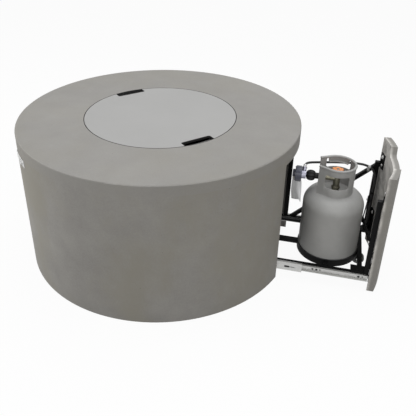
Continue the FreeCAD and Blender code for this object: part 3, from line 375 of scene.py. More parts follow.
# Blank card of the hanging tag
def tagCard():
    finish = Finish("tag_card", IOR=1.45, Coat_Weight=0.4, Coat_Roughness=0.2)
    fibre = finish.noise(240.0, detail=4.0, rough=0.6, spot=finish.stretched(1.0, 1.0, 0.3))
    stain = finish.noise(26.0, detail=4.0, rough=0.6)
    pattern = stain * 0.7 + fibre * 0.3
    finish.colour(finish.shades(pattern, (0.3, (0.88, 0.89, 0.90)), (0.7, (0.96, 0.97, 0.98))))
    finish.rough(0.5 + fibre * 0.2)
    finish.bump(fibre, strength=0.15, distance=0.0003)
    return finish.material


# White fired insulator
def firedCeramic():
    finish = Finish("fired_ceramic", Coat_Weight=0.5, Coat_Roughness=0.1)
    speck = finish.noise(300.0, detail=3.0, rough=0.6)
    finish.colour(finish.shades(speck, (0.4, (0.78, 0.77, 0.73)), (0.7, (0.86, 0.85, 0.82))))
    finish.rough(0.25 + speck * 0.1)
    return finish.material


finishes = {
    # cast_concrete paints black shade on the rebate wall round the lid
    "concrete": castConcrete("cast_concrete", mottle=0.10, warmth=0.3, rebate=0.304),
    "wall": castConcrete("wall_concrete", mottle=0.17, warmth=0.8),
    # door_concrete paints light on the door's inner face
    "door": castConcrete("door_concrete", mottle=0.13, warmth=0.3, innerRadius=0.536),
    "lid": lidCoat(top=0.575, rim=0.302),
    "frame": powderCoat("frame_powder_coat", (0.0035, 0.0035, 0.0037)),
    "bearer": powderCoat("bearer_paint", (0.016, 0.016, 0.016)),
    "zinc": zincSheet("zinc_sheet", (0.54, 0.54, 0.528)),
    "fastener": zincSheet("zinc_fastener", (0.56, 0.56, 0.55), spangle=600.0),
    "stainless": brushedSteel("brushed_stainless", (0.60, 0.60, 0.59)),
    "panSteel": brushedSteel("pan_steel", (0.27, 0.27, 0.265)),
    "bottle": bottleEnamel(),
    "brass": turnedMetal("turned_brass", (0.62, 0.45, 0.20)),
    "dullBrass": turnedMetal("dull_brass", (0.27, 0.26, 0.20), dullness=0.42),
    "copper": turnedMetal("drawn_copper", (0.62, 0.33, 0.20)),
    "dieCast": turnedMetal("die_cast_zinc", (0.66, 0.66, 0.66), dullness=0.24),
    "paleCast": turnedMetal("pale_casting", (0.44, 0.44, 0.52), dullness=0.36),
    "orange": mouldedPlastic("orange_plastic", (0.98, 0.42, 0.17), dullness=0.42),
    "black": mouldedPlastic("black_plastic", (0.012, 0.012, 0.0125), shine=0.25),
    "nylon": mouldedPlastic("grey_nylon", (0.15, 0.15, 0.15)),
    "enamel": hammeredEnamel(),
    "hose": gasRubber("hose_rubber", (0.02, 0.02, 0.02)),
    "pad": gasRubber("pad_rubber", (0.03, 0.03, 0.03)),
    "card": tagCard(),
    "ceramic": firedCeramic(),
}
nodeFinish = {
    "concrete": ["top_slab"],
    "wall": ["side_wall"],
    "door": ["door_panel"],
    "lid": ["lid_plate"],
    "pad": ["lid_pads"],
    "stainless": ["burner_ring", "burner_feed", "control_plate"],
    "panSteel": ["burner_pan"],
    "ceramic": ["spark_electrode"],
    "brass": ["air_mixer", "control_valve", "hose_inlet", "key_spindle"],
    "dullBrass": ["bottle_valve"],
    "copper": ["inlet_pipe", "supply_pipe"],
    "zinc": ["outer_slides", "mid_slides", "inner_slides"],
    "fastener": ["pan_nuts", "door_bolts", "strap_bolts", "roller_axle"],
    "bearer": ["bearer_near", "bearer_far", "floor_ties"],
    "frame": ["rail_near", "rail_far", "front_upright_near", "front_upright_far", "corner_gussets",
              "rear_rail", "front_rail", "rear_upright", "centre_rail", "ring_stubs", "brace_far",
              "upper_door_brackets", "lower_door_brackets", "bottle_ring", "bottle_tray", "cradle_strap",
              "hose_clips", "roller_fork"],
    "bottle": ["bottle_body", "bottle_foot", "bottle_collar"],
    "orange": ["valve_wheel"],
    "black": ["coupling_nut", "igniter_unit"],
    "nylon": ["roller_wheel"],
    "enamel": ["regulator_body", "regulator_cap"],
    "dieCast": ["igniter_button"],
    "paleCast": ["regulator_outlet"],
    "hose": ["gas_hose", "feed_hose"],
    "card": ["hang_tag"],
}
for finishName, members in nodeFinish.items():
    for member in members:
        nodes[member].data.materials.clear()
        nodes[member].data.materials.append(finishes[finishName])
print("finishes given to", sum(len(members) for members in nodeFinish.values()), "nodes")

# helpers for the modelled pieces


def addPiece(name, mesh, finishName, body, covers=()):
    mesh.name = name
    mesh.materials.clear()
    mesh.materials.append(finishes[finishName])
    made = bpy.data.objects.new(name, mesh)
    scene.collection.objects.link(made)
    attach(made, body)
    if covers:
        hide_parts(*covers)
    return made


def bareMesh(shell):
    mesh = bpy.data.meshes.new("piece")
    shell.to_mesh(mesh)
    shell.free()
    return mesh


def smoothed(mesh, sharp):  # smooth except at edges sharper than the angle
    mesh.polygons.foreach_set("use_smooth", [True] * len(mesh.polygons))
    mesh.set_sharp_from_angle(angle=math.radians(sharp))
    return mesh


# Turns a bmesh into a mesh with outward faces
def toMesh(shell, sharp=38.0):
    bmesh.ops.remove_doubles(shell, verts=shell.verts, dist=1e-7)
    bmesh.ops.recalc_face_normals(shell, faces=shell.faces)
    return smoothed(bareMesh(shell), sharp)


def plainMesh(holder):
    return bpy.data.meshes.new_from_object(holder.evaluated_get(bpy.context.evaluated_depsgraph_get()))


# A sheet of single faces, finished by modifiers and kept as a plain mesh
def sheetMesh(shell, modifiers, sharp=45.0):
    holder = bpy.data.objects.new("sheet", bareMesh(shell))
    scene.collection.objects.link(holder)
    for kind, settings in modifiers.items():
        modifier = holder.modifiers.new(kind.lower(), kind)
        for field, amount in settings.items():
            setattr(modifier, field, amount)
    mesh = plainMesh(holder)
    bpy.data.objects.remove(holder)
    return smoothed(mesh, sharp)


def skin(shell, rings, closed=False):
    sides = len(rings[0])
    for low, high in zip(rings, rings[1:] + (rings[:1] if closed else [])):
        for index in range(sides):
            after = (index + 1) % sides
            shell.faces.new((low[index], low[after], high[after], high[index]))
    if not closed:
        shell.faces.new(rings[0])
        shell.faces.new(rings[-1])


# A profile of (radius, height) pairs turned round an axis; a closed profile makes a hoop
def turned(shell, profile, spot, facing, sides, closed=False):
    swing = Vector(facing).to_track_quat("Z", "Y").to_matrix()
    rings = []
    for radius, height in profile:
        ring = []
        for index in range(sides):
            angle = math.tau * index / sides
            arm = swing @ Vector((radius * math.cos(angle), radius * math.sin(angle), height))
            ring.append(shell.verts.new(Vector(spot) + arm))
        rings.append(ring)
    skin(shell, rings, closed)


def block(shell, low, high, edge):
    corners = bmesh.ops.create_cube(shell, size=1.0)["verts"]
    for vert in corners:
        vert.co = [a + (part + 0.5) * (b - a) for part, a, b in zip(vert.co, low, high)]
    edges = list({item for vert in corners for item in vert.link_edges})
    bmesh.ops.bevel(shell, geom=edges, offset=edge, segments=2, profile=0.5, affect="EDGES")


def lathe(profile, sides=12, closed=False, spot=(0, 0, 0), facing=(0, 0, 1), sharp=38.0):
    shell = bmesh.new()
    turned(shell, profile, spot, facing, sides, closed)
    return toMesh(shell, sharp)


# Geometry Nodes: a copy of one shape on each point, turned to the point's facing and scaled by its swell
def copyTree():
    tree = bpy.data.node_groups.new("copies_on_points", "GeometryNodeTree")
    kinds = {"Points": "Geometry", "Shape": "Object", "Spread": "Float", "Seed": "Int", "Finish": "Material"}
    for name, kind in kinds.items():
        tree.interface.new_socket(name, in_out="INPUT", socket_type=f"NodeSocket{kind}")
    tree.interface.new_socket("Copies", in_out="OUTPUT", socket_type="NodeSocketGeometry")

    def add(kind, settings=None, sockets=None, output=0):
        return addNode(tree, kind, settings, sockets).outputs[output]

    given = addNode(tree, "NodeGroupInput").outputs
    shape = add("GeometryNodeObjectInfo", None, {"Object": given["Shape"], "As Instance": True}, "Geometry")
    named = "GeometryNodeInputNamedAttribute"
    facing = add(named, {"data_type": "FLOAT_VECTOR"}, {"Name": "facing"}, "Attribute")
    swell = add(named, {"data_type": "FLOAT"}, {"Name": "swell"}, "Attribute")
    aim = add("FunctionNodeAlignRotationToVector", {"axis": "Z"}, {"Vector": facing}, "Rotation")
    least = add("ShaderNodeMath", {"operation": "SUBTRACT"}, {0: 1.0, 1: given["Spread"]})
    most = add("ShaderNodeMath", {"operation": "ADD"}, {0: 1.0, 1: given["Spread"]})
    chance = add("FunctionNodeRandomValue", {"data_type": "FLOAT"},
                 {2: least, 3: most, "Seed": given["Seed"]}, 1)
    size = add("ShaderNodeMath", {"operation": "MULTIPLY"}, {0: swell, 1: chance})
    copies = add("GeometryNodeInstanceOnPoints", None,
                 {"Points": given["Points"], "Instance": shape, "Rotation": aim, "Scale": size}, "Instances")
    real = add("GeometryNodeRealizeInstances", None, {"Geometry": copies})
    dressed = add("GeometryNodeSetMaterial", None, {"Geometry": real, "Material": given["Finish"]})
    addNode(tree, "NodeGroupOutput", None, {"Copies": dressed})
    return tree


copyNodes = copyTree()


# spots are (place, facing, swell); the copies become one mesh on one body
def repeated(name, shape, spots, finishName, body, spread=0.0, seed=1):
    points = bpy.data.meshes.new(f"{name}_points")
    points.from_pydata([spot[0] for spot in spots], [], [])
    points.attributes.new("facing", "FLOAT_VECTOR", "POINT").data.foreach_set(
        "vector", [part for spot in spots for part in spot[1]])
    points.attributes.new("swell", "FLOAT", "POINT").data.foreach_set(
        "value", [spot[2] for spot in spots])
    source = bpy.data.objects.new(f"{name}_shape", shape)
    holder = bpy.data.objects.new(f"{name}_holder", points)
    for helper in (source, holder):
        scene.collection.objects.link(helper)
    copies = holder.modifiers.new("copies", "NODES")
    copies.node_group = copyNodes
    given = {"Shape": source, "Spread": spread, "Seed": seed, "Finish": finishes[finishName]}
    for item in copyNodes.interface.items_tree:
        if item.name in given:
            copies[item.identifier] = given[item.name]
    mesh = plainMesh(holder)
    holder.modifiers.remove(copies)
    for helper in (holder, source):
        bpy.data.objects.remove(helper)
    return addPiece(name, mesh, finishName, body)


def spotsAlong(start, end, facing, step, swell=1.0):
    run = Vector(end) - Vector(start)
    count = max(2, round(run.length / step) + 1)
    return [(Vector(start) + run * (index / (count - 1)), facing, swell) for index in range(count)]


def up(height):
    return Vector((0.0, 0.0, height))


def armAt(turn):  # unit arm that points away from an upright axis
    return Vector((math.cos(turn), math.sin(turn), 0.0))


def armsRound(count, start=0.0):  # evenly spaced arms all round
    return [armAt(math.tau * (index + start) / count) for index in range(count)]


# gas hose: one run held on the drawer, one that runs from the drawer's rear to the fixed inlet

hose = {
    "radius": 0.00475,
    "drawerRun": [
        (0.590, 0.022, 0.4095), (0.590, 0.044, 0.4095), (0.598, 0.068, 0.406), (0.622, 0.086, 0.402),
        (0.656, 0.098, 0.4005), (0.700, 0.112, 0.400), (0.748, 0.126, 0.398), (0.792, 0.138, 0.395),
        (0.828, 0.142, 0.391), (0.859, 0.142, 0.378), (0.874, 0.142, 0.347), (0.8755, 0.1416, 0.312),
        (0.875, 0.142, 0.262), (0.8755, 0.1416, 0.202), (0.875, 0.142, 0.152), (0.875, 0.142, 0.1148),
        (0.8638, 0.1416, 0.0952), (0.844, 0.141, 0.084), (0.808, 0.1404, 0.0836), (0.766, 0.141, 0.0814),
        (0.718, 0.140, 0.0808), (0.658, 0.141, 0.0813), (0.602, 0.142, 0.0807), (0.524, 0.14205, 0.08075),
        (0.488, 0.14205, 0.08075),
    ],
    "drawerLength": 0.99,
    "freeRun": [
        (0.488, 0.14205, 0.08075), (0.446, 0.14205, 0.08075), (0.400, 0.148, 0.077), (0.350, 0.150, 0.069),
        (0.296, 0.143, 0.058), (0.240, 0.128, 0.045), (0.180, 0.112, 0.032), (0.120, 0.100, 0.024),
        (0.060, 0.094, 0.022), (0.005, 0.095, 0.025), (-0.040, 0.101, 0.037), (-0.074, 0.109, 0.057),
        (-0.098, 0.116, 0.078), (-0.138, 0.116, 0.078),
    ],
    "freeLength": 0.65,
}


def routeCurve(spots, radius):
    curve = bpy.data.curves.new("route", "CURVE")
    curve.dimensions = "3D"
    curve.resolution_u = 10
    curve.bevel_depth = radius
    curve.bevel_resolution = 5
    curve.use_fill_caps = radius > 0.0
    line = curve.splines.new("NURBS")
    line.points.add(len(spots) - 1)
    for point, spot in zip(line.points, spots):
        point.co = (*spot, 1.0)
    line.order_u = 3
    line.use_endpoint_u = True
    return curve


def routePoints(spots):
    holder = bpy.data.objects.new("route", routeCurve(spots, 0.0))
    scene.collection.objects.link(holder)
    points = [vert.co.copy() for vert in plainMesh(holder).vertices]
    bpy.data.objects.remove(holder)
    return points


def tube(points, radius, sides=16):
    shell = bmesh.new()
    rings = []
    side = up(1.0)
    for index, point in enumerate(points):
        ahead = (points[min(index + 1, len(points) - 1)] - points[max(index - 1, 0)]).normalized()
        side = (side - ahead * side.dot(ahead)).normalized()
        across = ahead.cross(side)
        rings.append([shell.verts.new(point + (side * math.cos(turn) + across * math.sin(turn)) * radius)
                      for turn in (math.tau * step / sides for step in range(sides))])
    skin(shell, rings)
    return toMesh(shell, sharp=60.0)


sleeve = {  # crimped sleeve on a hose end: (radius, distance from the end)
    "profile": [(0.0058, 0.0002), (0.0068, 0.0008), (0.0068, 0.0040), (0.0061, 0.0048), (0.0068, 0.0056),
                (0.0068, 0.0088), (0.0061, 0.0096), (0.0068, 0.0104), (0.0068, 0.0136), (0.0056, 0.0146)],
    "ends": [("spout_sleeve", (0.590, 0.022, 0.4095), (0, 1, 0), 1.0, "drawer"),
             ("rear_sleeve", (0.491, 0.14205, 0.08075), (-1, 0, 0), 0.88, "drawer"),
             ("inlet_sleeve", (-0.138, 0.116, 0.078), (1, 0, 0), 1.0, "table")],
}
for name, spot, facing, size, body in sleeve["ends"]:
    profile = [(radius * size, height) for radius, height in sleeve["profile"]]
    mesh = lathe(profile, sides=32, spot=spot, facing=facing, sharp=25.0)
    addPiece(name, mesh, "dieCast", body)


def addHose(name, data):
    made = bpy.data.objects.new(name, data)
    data.name = name
    data.materials.append(finishes["hose"])
    scene.collection.objects.link(made)
    return made


gasHose = addHose("gas_hose_run", routeCurve(hose["drawerRun"], hose["radius"]))
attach(gasHose, "drawer")
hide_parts("gas_hose")
freePoints = routePoints(hose["freeRun"])
feedHose = addHose("feed_hose_run", tube(freePoints, hose["radius"]))
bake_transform(feedHose)
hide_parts("feed_hose")
print("hoses laid")

# slides: eyelets, black discs as painted shade in the punched holes, release levers, balls and their cages

slide = {
    "axisHeight": 0.061,
    "webFace": 0.1675,  # inner member's web, seen from outside
    "marks": [  # place along the web, size
        (0.671, 1.25), (0.6865, 1.4), (0.7, 0.9), (0.848, 1.45), (0.8625, 0.9),
    ],
    "eyelet": [(0.0029, 0.0), (0.0043, 0.0), (0.0041, 0.0006), (0.0032, 0.0008)],
    "hole": [(0.0031, 0.0), (0.0031, 0.0002), (0.0008, 0.0003)],
    "lever": {"y": (0.1766, 0.17765), "edge": 0.0002,
              "thumb": {"x": (0.5605, 0.5800), "z": (0.0560, 0.0646)},
              "tail": {"x": (0.5795, 0.6010), "z": (0.0586, 0.0612)}},
    "ball": {"radius": 0.0021, "y": 0.171, "rise": 0.01565, "x": (0.462, 0.618), "step": 0.013},
    "cage": {"x": (0.456, 0.624), "y": (0.1697, 0.1726), "thick": 0.0006, "edge": 0.0002},
}
eyeletSpots = [((x, side * slide["webFace"], slide["axisHeight"]), (0, side, 0), swell)
               for side in (-1, 1) for x, swell in slide["marks"]]
eyelet = lathe(slide["eyelet"], sides=16, closed=True)
hole = lathe(slide["hole"], sides=16)
repeated("slide_eyelets", eyelet, eyeletSpots, "zinc", "drawer")
# painted shade: a black disc in each eyelet stands for the shade in the hole
repeated("slide_holes", hole, eyeletSpots, "black", "drawer")
lever, ball, cage = slide["lever"], slide["ball"], slide["cage"]
levers, cages, ballSpots = bmesh.new(), bmesh.new(), []
for side in (-1, 1):
    near, far = sorted(side * part for part in lever["y"])
    for x, z in (lever[name].values() for name in ("thumb", "tail")):
        block(levers, (x[0], near, z[0]), (x[1], far, z[1]), lever["edge"])
    near, far = sorted(side * part for part in cage["y"])
    for rise in (-ball["rise"], ball["rise"]):
        height = slide["axisHeight"] + rise
        low, high = height - cage["thick"], height + cage["thick"]
        block(cages, (cage["x"][0], near, low), (cage["x"][1], far, high), cage["edge"])
        start, end = [(x, side * ball["y"], height) for x in ball["x"]]
        ballSpots += spotsAlong(start, end, (0, 0, 1), ball["step"])
addPiece("slide_levers", toMesh(levers), "black", "mid_members")
addPiece("slide_cages", toMesh(cages), "fastener", "mid_members")
ballRings = [(ball["radius"] * math.cos(turn), ball["radius"] * math.sin(turn))
             for turn in (math.radians(part) for part in (-80, -48, -16, 16, 48, 80))]
repeated("slide_balls", lathe(ballRings, sides=10), ballSpots, "fastener", "mid_members")
print("slides fitted")

# weld seams of the drawer frame and of the bottle's collar

weld = {
    "bead": [(0.0016, -0.0004), (0.0015, 0.0003), (0.0011, 0.0009), (0.0005, 0.0012)],
    "step": 0.0019,
    "low": 0.0565, "top": 0.0745,  # underside and top of the rails
    "plate": 0.0785,  # top of the corner plates
    "inner": 0.1483, "outer": 0.1663,  # faces of the side rails
    "half": 0.009,  # of the centre rail
}
low, top, plate, half = weld["low"], weld["top"], weld["plate"], weld["half"]
inner, outer = weld["inner"], weld["outer"]
seams = [
    ((0.517, inner, top), (0.517, outer, top), (-0.7, 0, 0.7)),
    ((0.517, inner, top), (0.535, inner, top), (0, -0.7, 0.7)),
    ((0.866, inner, 0.370), (0.866, inner, 0.391), (-0.6, -0.8, 0)),
    ((0.539, inner, top), (0.553, inner, top), (0, -0.8, 0.6)),
]
bothSides = [
    ((0.866, inner, plate), (0.866, outer, plate), (-0.7, 0, 0.7)),
    ((0.866, inner, plate), (0.884, inner, plate), (0, -0.7, 0.7)),
    ((0.506, inner, low), (0.506, inner, top), (0.7, -0.7, 0)),
    ((0.489, inner, top), (0.506, inner, top), (0, 0, 1)),
    ((0.842, inner, low), (0.842, inner, top), (-0.7, -0.7, 0)),
    ((0.506, half, low), (0.506, half, top), (0.7, 0.7, 0)),
    ((0.5945, half, low), (0.5945, half, top), (-0.5, 0.8, 0)),
]
for x, lean in ((0.709, -0.7), (0.727, 0.7)):
    for y, toward in ((0.1238, 0.7), (inner, -0.7)):
        bothSides.append(((x, y, low), (x, y, top), (lean, toward, 0)))
for side in (-1, 1):
    seams += [[(x, side * y, z) for x, y, z in seam] for seam in bothSides]
seamSpots = [spot for seam in seams for spot in spotsAlong(*seam, weld["step"])]
beadShape = lathe(weld["bead"], sides=8)
repeated("frame_welds", beadShape, seamSpots, "frame", "drawer", spread=0.14, seed=3)

# valve collar: bent sheet, open towards the regulator, with a rolled rim, a front window and a rear handle

collar = {
    "axis": 0.718, "radius": 0.067, "sheet": 0.003, "top": 0.453, "rim": 0.005, "edge": 0.0005,
    "bend": math.radians(118.0),  # the round ends here on both sides, and straight arms run on
    "arm": 0.045, "columns": 330,
    "front": {"from": -0.1544, "to": -0.0545, "low": 0.372, "high": 0.426, "lowRound": 0.010,
              "highRound": 0.010},
    "handle": {"from": 0.0517, "to": 0.1567, "low": 0.408, "high": 0.447, "lowRound": 0.010,
               "highRound": 0.004},
    "lip": {"notch": (0.008, 0.0105), "height": 0.431, "radius": 0.0034, "depth": 0.0050},
    "shoulder": (0.062, 0.278, 0.058),  # the drum's shoulder: middle of its round, and its radius
}


def held(amount, least, most):
    return max(least, min(most, amount))


# along runs from -Y round +X to +Y, zero at +X
def collarSpot(along, height, depth=0.0):
    turn = held(along / collar["radius"], -collar["bend"], collar["bend"])
    out = armAt(turn)
    arm = Vector((-out.y, out.x, 0.0)) * (along - turn * collar["radius"])
    return Vector((collar["axis"], 0.0, height)) + out * (collar["radius"] - depth) + arm, out


def shoulderHeight(along):
    spot = collarSpot(along, 0.0)[0]
    middle, height, radius = collar["shoulder"]
    return height + math.sqrt(radius ** 2 - (math.hypot(spot.x - collar["axis"], spot.y) - middle) ** 2)


def cornerDrop(radius, side):
    return radius - math.sqrt(radius ** 2 - max(0.0, radius - side) ** 2)


def windowAt(along):
    for window in (collar["front"], collar["handle"]):
        if window["from"] <= along <= window["to"]:
            return window
    return None


def windowHeights(along):
    front, handle, lip = collar["front"], collar["handle"], collar["lip"]
    window = windowAt(along)
    if window is None:  # between the windows the two lines only divide the sheet
        share = held((along - front["to"]) / (handle["from"] - front["to"]), 0.0, 1.0)
        low = [item["low"] + item["lowRound"] for item in (front, handle)]
        high = [item["high"] - item["highRound"] for item in (front, handle)]
        return low[0] + (low[1] - low[0]) * share, high[0] + (high[1] - high[0]) * share
    side = min(along - window["from"], window["to"] - along)
    high = window["high"] - cornerDrop(window["highRound"], side)
    if window is handle:  # the band's rolled lip hangs lower than the window's corners
        start, end = lip["notch"]
        high += (lip["height"] - high) * held((side - start) / (end - start), 0.0, 1.0)
    return window["low"] + cornerDrop(window["lowRound"], side), high


collarHalf = collar["bend"] * collar["radius"] + collar["arm"]
collarColumns = [collarHalf * (2 * index / collar["columns"] - 1) for index in range(collar["columns"] + 1)]
windowEnds = [collar[name][end] for name in ("front", "handle") for end in ("from", "to")]
collarColumns = sorted(collarColumns + windowEnds)
shell = bmesh.new()
rows = []
for along in collarColumns:
    heights = (shoulderHeight(along) - collar["edge"], *windowHeights(along), collar["top"])
    rows.append([shell.verts.new(collarSpot(along, height)[0]) for height in heights])
for index, (near, far) in enumerate(zip(rows, rows[1:])):
    opened = windowAt((collarColumns[index] + collarColumns[index + 1]) / 2) is not None
    for level in ((0, 2) if opened else (0, 1, 2)):
        shell.faces.new((near[level], far[level], far[level + 1], near[level + 1]))
collarMesh = sheetMesh(shell, {
    "SOLIDIFY": {"thickness": collar["sheet"], "offset": -1.0},
    "BEVEL": {"width": collar["edge"], "segments": 2, "limit_method": "ANGLE",
              "angle_limit": math.radians(50.0)},
})
addPiece("collar_guard", collarMesh, "bottle", "drawer", ["bottle_collar"])
rimLine = [collarSpot(along, collar["top"], collar["sheet"] / 2)[0] for along in collarColumns]
handle, lip = collar["handle"], collar["lip"]
lipStart, lipEnd = handle["from"] + lip["notch"][1], handle["to"] - lip["notch"][1]
lipLine = [collarSpot(along, lip["height"], lip["depth"])[0] for along in collarColumns
           if lipStart < along < lipEnd]
for name, line, radius in (("collar_rim", rimLine, collar["rim"]), ("handle_lip", lipLine, lip["radius"])):
    addPiece(name, tube(line, radius), "bottle", "drawer")
seamSpots = []
for along in collarColumns:
    place, out = collarSpot(along, shoulderHeight(along) + collar["edge"])
    seamSpots.append((place, out + up(1.0), 1.0))
repeated("collar_weld", beadShape, seamSpots, "bottle", "drawer", spread=0.1, seed=5)

# end caps of the uprights

cap = {"top": 0.405, "rise": 0.0022, "tube": 0.018, "inset": 0.0004, "edge": 0.0009,
       "corners": [(0.866, -0.1663), (0.866, 0.1483), (0.517, 0.1483)]}
shell = bmesh.new()
for x, y in cap["corners"]:
    near, far = cap["inset"], cap["tube"] - cap["inset"]
    block(shell, (x + near, y + near, cap["top"]), (x + far, y + far, cap["top"] + cap["rise"]), cap["edge"])
addPiece("upright_caps", toMesh(shell), "black", "drawer")

# washers under the door bolts, on the inside of the brackets

washer = {"profile": [(0.0030, 0.0), (0.0082, 0.0), (0.0079, 0.0011), (0.0033, 0.0011)],
          "reach": 0.531, "turn": 15.98, "heights": (0.054, 0.168, 0.396, 0.432)}
spots = []
for side in (-1, 1):
    arm = armAt(math.radians(side * washer["turn"]))
    for height in washer["heights"]:
        spots.append((arm * washer["reach"] + Vector((pull, 0.0, height)), -arm, 1.0))
washerShape = lathe(washer["profile"], sides=24, closed=True)
repeated("door_washers", washerShape, spots, "fastener", "drawer")
print("frame dressed")

# bottle: ring liner, strap pad, valve nut and handwheel top

bottleAxis = (0.718, 0.0, 0.0)
liner = {"profile": [(0.1204, 0.0780), (0.12045, 0.0780), (0.12045, 0.0822), (0.1240, 0.0822),
                     (0.1242, 0.0830), (0.1234, 0.0838), (0.1212, 0.0838), (0.1204, 0.0831)]}
mesh = lathe(liner["profile"], sides=96, closed=True, spot=bottleAxis)
addPiece("ring_liner", mesh, "pad", "drawer")
strapPad = {"low": (0.8381, -0.013, 0.2105), "high": (0.8399, 0.013, 0.2315), "edge": 0.0006}
shell = bmesh.new()
block(shell, strapPad["low"], strapPad["high"], strapPad["edge"])
addPiece("strap_pad", toMesh(shell), "pad", "drawer")
valveNut = {"profile": [(0.0150, 0.3440), (0.0164, 0.3452), (0.0164, 0.3555), (0.0150, 0.3567)]}
mesh = lathe(valveNut["profile"], sides=6, spot=bottleAxis, sharp=20.0)
addPiece("valve_nut", mesh, "dullBrass", "drawer")
wheel = {
    "crown": [(0.0075, 0.4281), (0.0190, 0.4281), (0.0186, 0.4294), (0.0160, 0.4301), (0.0140, 0.4291),
              (0.0100, 0.4291), (0.0078, 0.4295)],
    "nut": [(0.0052, 0.4283), (0.0060, 0.4289), (0.0060, 0.4309), (0.0052, 0.4315)],
    "rib": [(0.0006, 0.0), (0.0014, 0.0008), (0.0016, 0.0085), (0.0008, 0.0098)],
    "ribs": 10, "ribStart": 0.0085, "ribHeight": 0.4287,
}
mesh = lathe(wheel["crown"], sides=48, closed=True, spot=bottleAxis)
addPiece("wheel_crown", mesh, "orange", "handwheel")
mesh = lathe(wheel["nut"], sides=6, spot=bottleAxis, sharp=20.0)
addPiece("wheel_nut", mesh, "fastener", "handwheel")
wheelMiddle = Vector((bottleAxis[0], 0.0, wheel["ribHeight"]))
spots = [(wheelMiddle + arm * wheel["ribStart"], arm, 1.0) for arm in armsRound(wheel["ribs"])]
repeated("wheel_ribs", lathe(wheel["rib"], sides=10), spots, "orange", "handwheel")

# regulator: cover screws, cap grips, union nut and hand nut; tag, hose clamp and roller hubs

regulator = {
    "height": 0.389, "face": 0.556,
    "screw": [(0.0027, 0.0), (0.0027, 0.0008), (0.0021, 0.0016), (0.0012, 0.0018), (0.0011, 0.0009)],
    "screwRing": 0.0255, "screws": 6,
    "grip": [(0.0004, 0.0), (0.0009, 0.0007), (0.0009, 0.0080), (0.0004, 0.0087)],
    "gripRing": 0.0149, "grips": 30, "gripStart": 0.5468, "gripFree": -0.0085,  # none where the tag hangs
    "union": [(0.0085, 0.0115), (0.0096, 0.0124), (0.0096, 0.0208), (0.0085, 0.0217)],
    "spout": (0.590, 0.0, 0.4095),
}


def onRegulator(arm, x, ring):  # a place on a ring round the regulator's level axis
    return x, arm.y * ring, regulator["height"] + arm.x * ring


screwShape = lathe(regulator["screw"])
spots = [(onRegulator(arm, regulator["face"], regulator["screwRing"]), (-1, 0, 0), 1.0)
         for arm in armsRound(regulator["screws"], 0.5)]
repeated("cover_screws", screwShape, spots, "fastener", "drawer")
gripArms = [arm for arm in armsRound(regulator["grips"])
            if arm.x * regulator["gripRing"] > regulator["gripFree"]]
spots = [(onRegulator(arm, regulator["gripStart"], regulator["gripRing"]), (1, 0, 0), 1.0)
         for arm in gripArms]
gripShape = lathe(regulator["grip"], sides=8)
repeated("cap_grips", gripShape, spots, "enamel", "drawer")
mesh = lathe(regulator["union"], sides=6, spot=regulator["spout"], facing=(0, 1, 0), sharp=20.0)
addPiece("union_nut", mesh, "dieCast", "drawer")
knob = {  # moulded hand nut of the regulator: (radius, distance from its open end), with finger lobes
    "spot": (0.5984, 0.0, 0.389),
    "profile": [(0.0075, 0.0004), (0.0102, 0.0004), (0.0152, 0.0032), (0.0184, 0.0082), (0.0201, 0.0140),
                (0.0205, 0.0190), (0.0200, 0.0240), (0.0182, 0.0298), (0.0148, 0.0346), (0.0122, 0.0364),
                (0.0118, 0.0486), (0.0212, 0.0492), (0.0220, 0.0502), (0.0220, 0.0552), (0.0212, 0.0562),
                (0.0075, 0.0566)],
    "lobes": 9, "depth": 0.08, "lobesFrom": 0.0145, "lobesTo": 0.036,
}
shell = bmesh.new()
turned(shell, knob["profile"], knob["spot"], facing=(1, 0, 0), sides=90, closed=True)
for vert in shell.verts:
    rise = vert.co.z - knob["spot"][2]
    if math.hypot(vert.co.y, rise) > knob["lobesFrom"] and vert.co.x < knob["spot"][0] + knob["lobesTo"]:
        swell = 1.0 + knob["depth"] * math.cos(knob["lobes"] * math.atan2(rise, vert.co.y))
        vert.co.y *= swell
        vert.co.z = knob["spot"][2] + rise * swell
addPiece("coupling_knob", toMesh(shell), "black", "coupling", ["coupling_nut"])
tag = {  # two card leaves on one neck; rows are height, left and right edge, and place towards the back
    "sheet": 0.0005, "columns": 6, "cup": 0.1,  # the edges stand back by this share of the width
    "tag_rear_leaf": [(0.3738, 0.5461, 0.5555, 0.0030), (0.3590, 0.5461, 0.5555, 0.0030),
                      (0.3560, 0.5463, 0.5610, 0.0034), (0.3320, 0.5455, 0.5670, 0.0040),
                      (0.3083, 0.5450, 0.5740, 0.0060), (0.2610, 0.5500, 0.5845, 0.0110)],
    "tag_front_leaf": [(0.3560, 0.5546, 0.5830, 0.0012), (0.3474, 0.5553, 0.5845, -0.0005),
                       (0.3190, 0.5647, 0.5876, -0.0110), (0.2970, 0.5745, 0.5886, -0.0200),
                       (0.2805, 0.5835, 0.5893, -0.0265), (0.2760, 0.5870, 0.5896, -0.0280)],
}
for name, covers in (("tag_rear_leaf", ["hang_tag"]), ("tag_front_leaf", [])):
    shell = bmesh.new()
    rows = []
    for height, left, right, back in tag[name]:
        row = []
        for index in range(tag["columns"] + 1):
            share = index / tag["columns"]
            cup = tag["cup"] * (right - left) * (2 * share - 1) ** 2
            row.append(shell.verts.new((left + (right - left) * share, back + cup, height)))
        rows.append(row)
    for high, low in zip(rows, rows[1:]):
        for index in range(tag["columns"]):
            shell.faces.new((high[index], low[index], low[index + 1], high[index + 1]))
    leafMesh = sheetMesh(shell, {
        "SUBSURF": {"levels": 2, "render_levels": 2, "boundary_smooth": "PRESERVE_CORNERS"},
        "SOLIDIFY": {"thickness": tag["sheet"], "offset": 0.0},
    })
    addPiece(name, leafMesh, "card", "drawer", covers)
